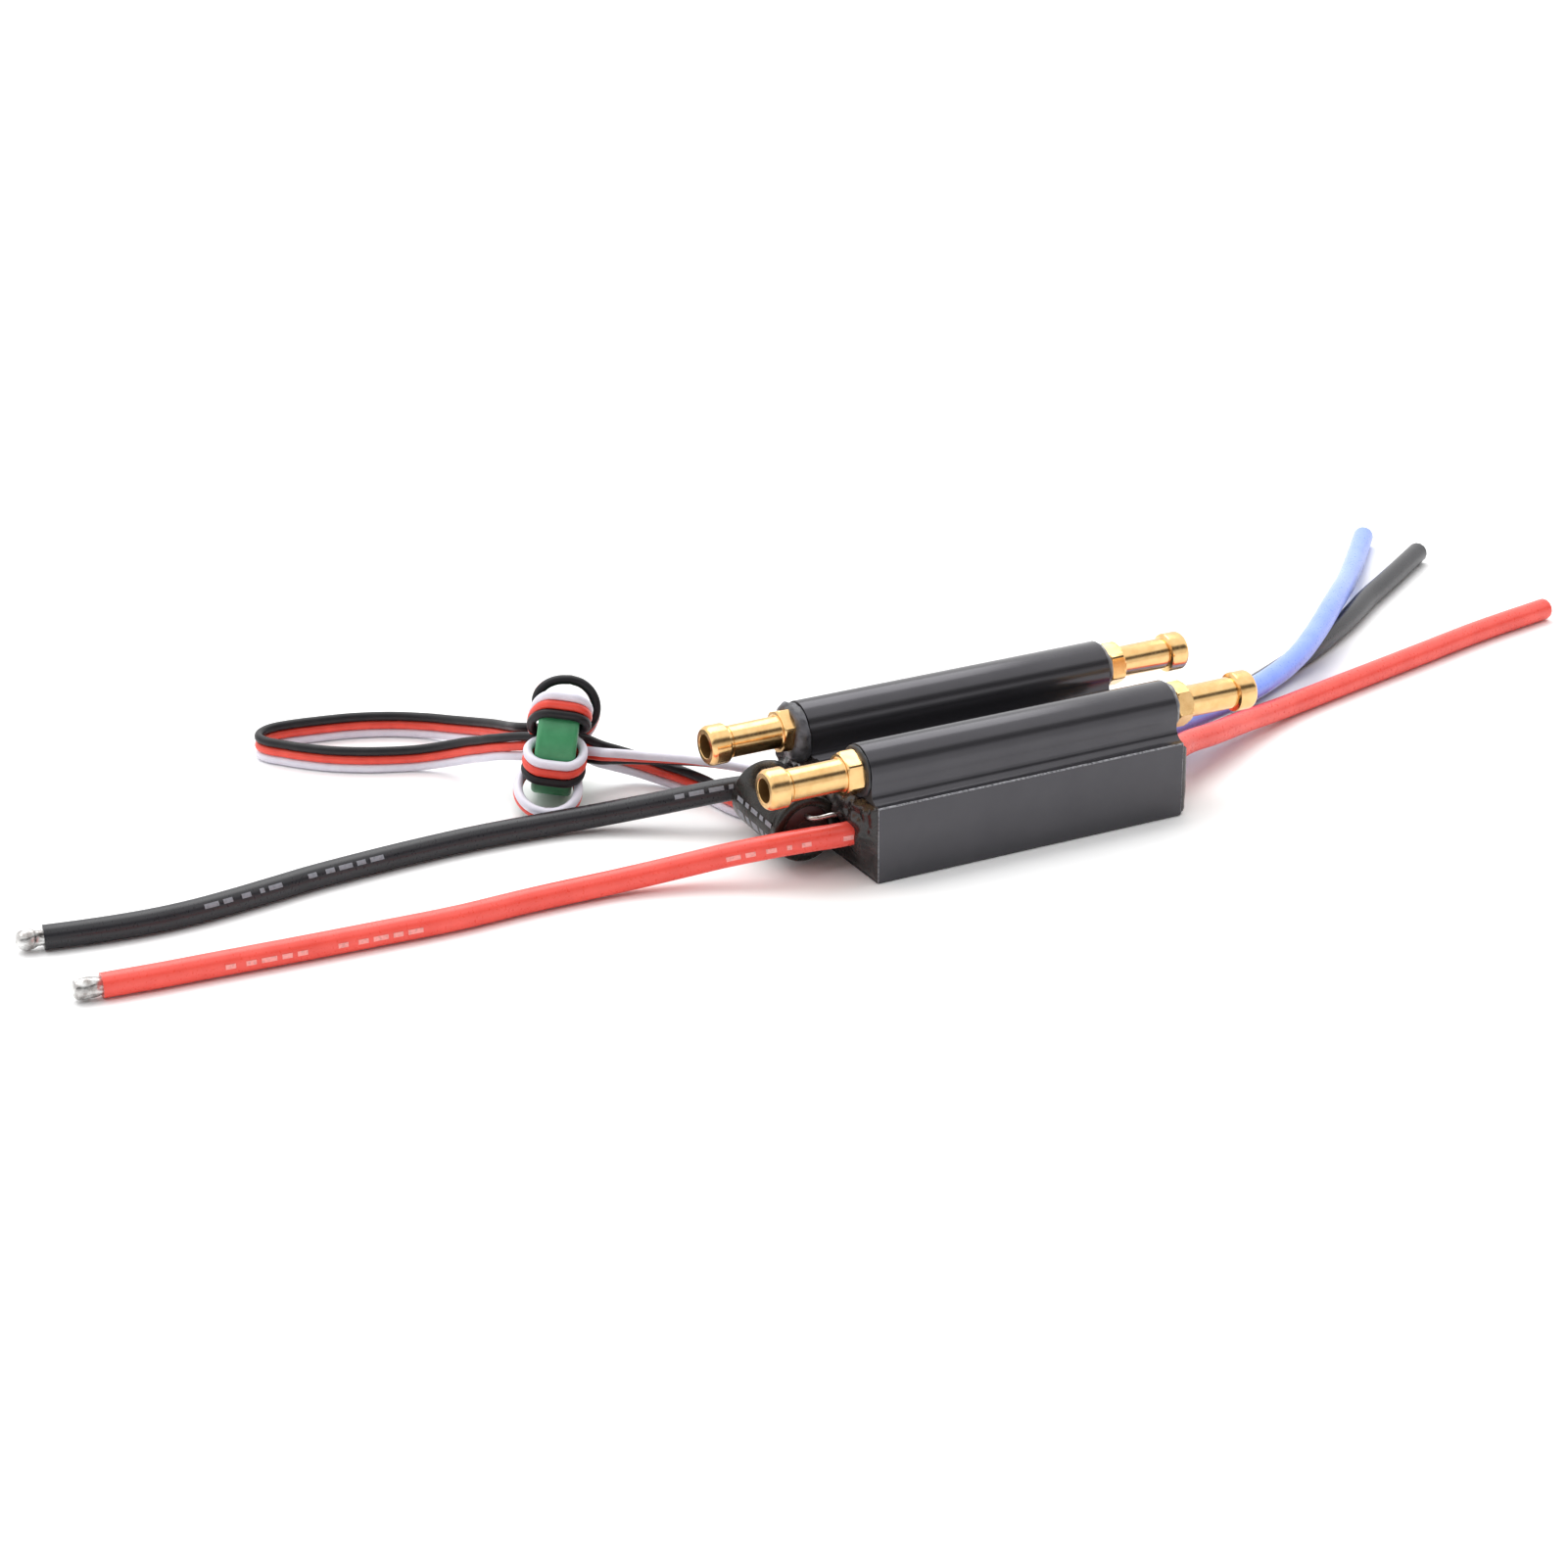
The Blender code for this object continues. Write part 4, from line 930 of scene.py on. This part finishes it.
def wire_marks(name, path, groups, lean, finish):
    """Plain dashes printed along a wire. Each group starts that many millimetres from the wire's start."""
    bm = bmesh.new()
    spacing = path_length(path) / (len(path) - 1)
    reach = WIRE_RADIUS * MM * 1.008
    for group in groups:
        for start, length in WIRE_DASHES:
            if group + start < 0.3:
                continue
            first = round((group + start) * MM / spacing)
            last = round((group + start + length) * MM / spacing)
            rows = []
            for index in range(first, min(last, len(path) - 1) + 1):
                side, up = wire_sides(path, index)
                row = []
                for j in range(5):
                    angle = math.radians(lean + DASH_HALF_WIDTH * (j / 2 - 1))
                    off = side * reach * math.sin(angle)
                    row.append(bm.verts.new(path[index] + off + up * reach * math.cos(angle)))
                rows.append(row)
            skin(bm, rows, rings=False)
    return new_piece(name, mesh_from(name, bm), [finish])


def tinned_tip(name, start, ahead, shape):
    """A stripped end dipped in solder, as a lumpy skin over strands."""
    side = ahead.cross(Vector((0.0, 0.0, 1.0))).normalized()
    up = side.cross(ahead)
    profile = catmull([Vector(pair) for pair in shape], 6)
    steps = 48
    bm = bmesh.new()
    rings = []
    for length, radius in profile:
        ring = []
        for step in range(steps):
            angle = 2 * math.pi * step / steps
            way = side * math.cos(angle) + up * math.sin(angle)
            strands = 0.035 * math.cos(9 * angle + 1.3 * length) * max(0.0, 1.0 - length / 2.6)
            lumps = 0.16 * noise.noise(way * 1.3 + Vector((length * 0.8, 0.0, shape[-1][0])))
            reach = radius * (1.0 + strands + lumps)
            ring.append(bm.verts.new(start + (ahead * length + way * reach) * MM))
        rings.append(ring)
    skin(bm, rings)
    bm.faces.new(rings[0])
    bm.faces.new(rings[-1])
    mesh = mesh_from(name, bm)
    smooth(mesh, 50.0)
    return new_piece(name, mesh, [TINNED])


def wire_path(route):
    knots = [Vector(point) for point in route]
    return [metres(point) for point in spaced(catmull(knots, 24), 0.6)]


def power_wire(end, colour, path, finish, end_rounding=0.0):
    name = f"{end}_cable_{colour}"
    curve = tube_curve(name, [path], WIRE_RADIUS * MM, end_rounding=end_rounding)
    wire = new_piece(name, curve, [finish])
    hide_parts(f"{end}_wire_{colour}")
    return wire


def make_battery_wires():
    for colour, route, finish, mark_finish, lean, groups in (
        ("red", BATTERY_WIRE_RED, RED_SILICONE, PINK_MARK, -86.0, (-7.2, 6.1, 55.0, 68.3)),
        ("black", BATTERY_WIRE_BLACK, BLACK_SILICONE, PALE_MARK, -55.0, (4.6, 52.9, 66.6)),
    ):
        path = wire_path(route)
        wire = power_wire("battery", colour, path, finish)
        ahead = (path[-1] - path[-2]).normalized()
        foot = path[-1] - ahead * TIP_OVERLAP * MM
        tip = tinned_tip(f"battery_cable_tip_{colour}", foot, ahead, TIP_SHAPES[colour])
        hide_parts(f"battery_wire_tinned_end_{colour}")
        marks = wire_marks(f"battery_cable_marks_{colour}", path, groups, lean, mark_finish)


def make_motor_wires():
    for colour, route, finish in (
        ("red", MOTOR_WIRE_RED, RED_SILICONE), ("blue", MOTOR_WIRE_BLUE, BLUE_SILICONE),
        ("black", MOTOR_WIRE_BLACK, BLACK_SILICONE),
    ):
        path = wire_path(route)
        wire = power_wire("motor", colour, path, finish, CUT_END_ROUNDING * MM)


# ---- ferrite ring and signal lead

RING_FORWARD = Vector((math.sin(RING_HEADING), -math.cos(RING_HEADING), 0.0))
RING_ACROSS = Vector((math.cos(RING_HEADING), math.sin(RING_HEADING), 0.0))
RING_AXIS = Vector((0.0, 0.0, math.sin(RING_LEAN))) - RING_ACROSS * math.cos(RING_LEAN)
RING_UP = RING_AXIS.cross(RING_FORWARD)


def ring_place(forward, up, along):
    return RING_CENTRE + RING_FORWARD * forward + RING_UP * up + RING_AXIS * along


def in_bore(white, red, black):
    """Places of three cores against the bore's wall, from their angles round the ring in degrees."""
    return [
        (BORE_LAYER * math.cos(math.radians(angle)), BORE_LAYER * math.sin(math.radians(angle)))
        for angle in (white, red, black)
    ]


def half_turn(inside, outside, reach, crest, quick=0.6):
    """Three cores from the bore, round one face of the ring, to its rim. The reach is how far they bulge
    along the axis, and the crest is where the turn's two halves meet on the rim."""
    stations = []
    for i in range(9):
        angle = math.radians(-90.0 + 22.5 * i)
        share = (1.0 + math.sin(angle)) / 2
        spread = share**quick
        along = crest + (reach - crest) * math.cos(angle)
        middle = [a + (b - a) * share for a, b in zip(inside[1], outside[1])]
        stations.append([
            ring_place(
                middle[0] + (a[0] - inside[1][0]) * (1.0 - spread) + (b[0] - outside[1][0]) * spread,
                middle[1] + (a[1] - inside[1][1]) * (1.0 - spread) + (b[1] - outside[1][1]) * spread,
                along,
            )
            for a, b in zip(inside, outside)
        ])
    return stations


def free_stretch(route, first_side, last_side):
    """Three cores along a free route. Each side points from the red core to the white one."""
    points = [Vector(point) for point in route]
    stations = []
    for i, point in enumerate(points):
        share = i / (len(points) - 1)
        ahead = points[min(i + 1, len(points) - 1)] - points[max(i - 1, 0)]
        side = first_side.lerp(last_side, share)
        side = (side - side.project(ahead)).normalized() * CORE_PITCH
        stations.append([point + side, point, point - side])
    return stations


def lead_stations():
    down = Vector((0.0, 0.0, -1.0))
    leaning = (RING_FORWARD + Vector((0.0, 0.0, 1.0))).normalized()
    towards_front = Vector((0.0, -1.0, 0.0))

    def bore(cores, along):
        return [[ring_place(forward, up, along) for forward, up in cores]]

    left, right = TIGHT_REACH, -TIGHT_REACH
    stations = free_stretch(LEAD_TO_FERRITE, down, down)
    stations += bore(MIDDLE_BACK, -2.6)
    stations += half_turn(MIDDLE_BACK, UPPER_TIGHT, left, TIGHT_FLAT)
    stations += half_turn(in_bore(119.0, 95.0, 71.0), UPPER_TIGHT, right, -TIGHT_FLAT)[::-1]
    stations += half_turn(in_bore(110.0, 86.0, 62.0), UPPER_LOOSE, 3.2, -0.75, 0.3)
    stations += half_turn(in_bore(208.0, 184.0, 160.0), UPPER_LOOSE, -4.4, -0.75, 0.3)[::-1]
    stations += bore(in_bore(215.0, 190.0, 165.0), 2.9)
    stations += free_stretch(LEAD_LOOP, down, down)
    stations += bore(MIDDLE_FRONT_IN, 2.9)
    stations += half_turn(in_bore(45.0, 21.0, -3.0), LOWER_TIGHT, right, -TIGHT_FLAT)
    stations += half_turn(in_bore(30.0, 6.0, -18.0), LOWER_TIGHT, left, TIGHT_FLAT)[::-1]
    stations += half_turn(in_bore(-30.0, -54.0, -78.0), LOWER_LOOSE, -3.4, 0.3, 0.4)
    stations += half_turn(in_bore(-42.0, -66.0, -90.0), LOWER_LOOSE, 4.1, 0.3, 0.4)[::-1]
    stations += bore(MIDDLE_FRONT_OUT, -2.9)
    stations += free_stretch(LEAD_TO_PLUG, leaning, towards_front)
    plug_y = (PLUG_LOW.y + PLUG_HIGH.y) / 2
    plug_z = (PLUG_LOW.z + PLUG_HIGH.z) / 2
    for x, pitch in ((PLUG_LOW.x - 0.9, 1.9), (PLUG_LOW.x + 0.3, 2.45), (PLUG_LOW.x + 1.2, 2.54)):
        stations.append([Vector((x, plug_y - side * pitch, plug_z)) for side in (1, 0, -1)])
    return stations


def make_ferrite():
    corner = RING_ROUNDING
    middle = RING_HALF_WIDTH - corner
    profile = arc((RING_OUTER - corner, middle), corner, 90.0, 0.0, 6)
    profile += arc((RING_OUTER - corner, -middle), corner, 0.0, -90.0, 6)
    profile += arc((RING_INNER + corner, -middle), corner, 270.0, 180.0, 6)
    profile += arc((RING_INNER + corner, middle), corner, 180.0, 90.0, 6)
    mesh = turned_mesh("ferrite_core_ring", profile, 96)
    smooth(mesh, 60.0)
    turn = Matrix((RING_FORWARD, RING_UP, RING_AXIS)).transposed().to_4x4()
    mesh.transform(Matrix.Translation(metres(RING_CENTRE)) @ turn)
    ring = new_piece("ferrite_core_ring", mesh, [FERRITE])
    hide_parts("ferrite_ring")
    return ring


def make_signal_lead(ring, plug_pieces):
    stations = lead_stations()
    stood_for = (
        ("signal_lead_to_ferrite", "signal_lead_loop"), ("signal_winding_upper", "signal_winding_lower"),
        ("signal_lead_to_plug",),
    )
    cores = (("white", WHITE_PVC), ("red", RED_PVC), ("black", BLACK_PVC))
    for index, (colour, finish) in enumerate(cores):
        knots = [station[index] for station in stations]
        path = [metres(point) for point in spaced(catmull(knots, 10), 0.35)]
        name = f"signal_core_{colour}"
        core = new_piece(name, tube_curve(name, [path], CORE_RADIUS * MM, 4), [finish])
        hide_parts(*stood_for[index])


# ---- servo plug

def box_into(bm, low, high, edge=0.0):
    made = bmesh.ops.create_cube(bm, size=1.0)["verts"]
    size = Vector(high) - Vector(low)
    bmesh.ops.scale(bm, vec=metres(size), verts=made)
    bmesh.ops.translate(bm, vec=metres((Vector(low) + Vector(high)) / 2), verts=made)
    if edge:
        edges = {line for vert in made for line in vert.link_edges}
        bmesh.ops.bevel(bm, geom=list(edges), offset=edge * MM, segments=2, affect="EDGES", profile=0.5)


def make_plug():
    """Three-way servo plug: two shells of walls round open contact slots, with ribs for the fingers."""
    low, high = PLUG_LOW, PLUG_HIGH
    bm = bmesh.new()
    slot = 0.85
    pitch = 2.54
    middle_y = (low.y + high.y) / 2
    middle_z = (low.z + high.z) / 2
    box_into(bm, (low.x, low.y, low.z), (low.x + 2.4, high.y, high.z), 0.15)
    box_into(bm, (low.x + 1.0, low.y, low.z), (high.x, high.y, middle_z - 0.75), 0.12)
    box_into(bm, (low.x + 1.0, low.y, middle_z + 0.75), (high.x, high.y, high.z), 0.12)
    walls = [low.y, middle_y - pitch - slot, middle_y - pitch + slot, middle_y - slot, middle_y + slot,
             middle_y + pitch - slot, middle_y + pitch + slot, high.y]
    for start, end in zip(walls[::2], walls[1::2]):
        box_into(bm, (low.x + 1.0, start, low.z + 0.1), (high.x - 0.02, end, high.z - 0.1))
    for number in range(4):
        x = low.x + 3.2 + 1.1 * number
        box_into(bm, (x, low.y + 0.5, high.z - 0.1), (x + 0.5, high.y - 0.5, high.z + 0.12), 0.08)
    for side in (-1, 0, 1):
        y = middle_y + side * pitch
        box_into(bm, (low.x + 8.4, y - 0.5, high.z - 0.05), (low.x + 10.2, y + 0.5, high.z + 0.06), 0.04)
    mesh = mesh_from("servo_plug_body", bm)
    smooth(mesh)
    body = new_piece("servo_plug_body", mesh, [PLASTIC])
    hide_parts("plug_housing")
    pieces = [body]
    for side, name in ((-1, "signal"), (0, "power"), (1, "ground")):
        y = middle_y + side * pitch
        bm = bmesh.new()
        box_into(bm, (low.x + 3.0, y - 0.6, middle_z - 0.5), (high.x - 1.2, y + 0.6, middle_z - 0.36), 0.03)
        box_into(bm, (low.x + 3.0, y - 0.6, middle_z - 0.5), (high.x - 1.6, y - 0.46, middle_z + 0.45), 0.03)
        box_into(bm, (low.x + 3.0, y + 0.46, middle_z - 0.5), (high.x - 1.6, y + 0.6, middle_z + 0.45), 0.03)
        box_into(bm, (low.x + 5.0, y - 0.3, middle_z + 0.2), (high.x - 1.8, y + 0.3, middle_z + 0.34), 0.03)
        mesh = mesh_from(f"servo_contact_{name}", bm)
        smooth(mesh)
        contact = new_piece(mesh.name, mesh, [TINNED])
        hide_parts(f"plug_contact_{name}")
        pieces.append(contact)
    return pieces


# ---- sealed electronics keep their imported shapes

def finish_inner_parts():
    finishes = {"circuit_board": BOARD, "chip_package": PLASTIC, "thermal_pad": PAD, "black_plastic": PLASTIC}
    slots = {row["node"]: row["material_slot"] for row in frame["record"]["subparts"]}
    for name, node in frame["nodes"].items():
        if slots[name] in finishes and not node.hide_render:
            node.data.materials.clear()
            node.data.materials.append(finishes[slots[name]])


make_camera()
make_studio()
make_battery_wires()
make_motor_wires()
make_signal_lead(make_ferrite(), make_plug())
make_housing()
make_nipples()
make_sealant()
make_potting()
make_capacitor()
make_capacitor_marks()
finish_inner_parts()
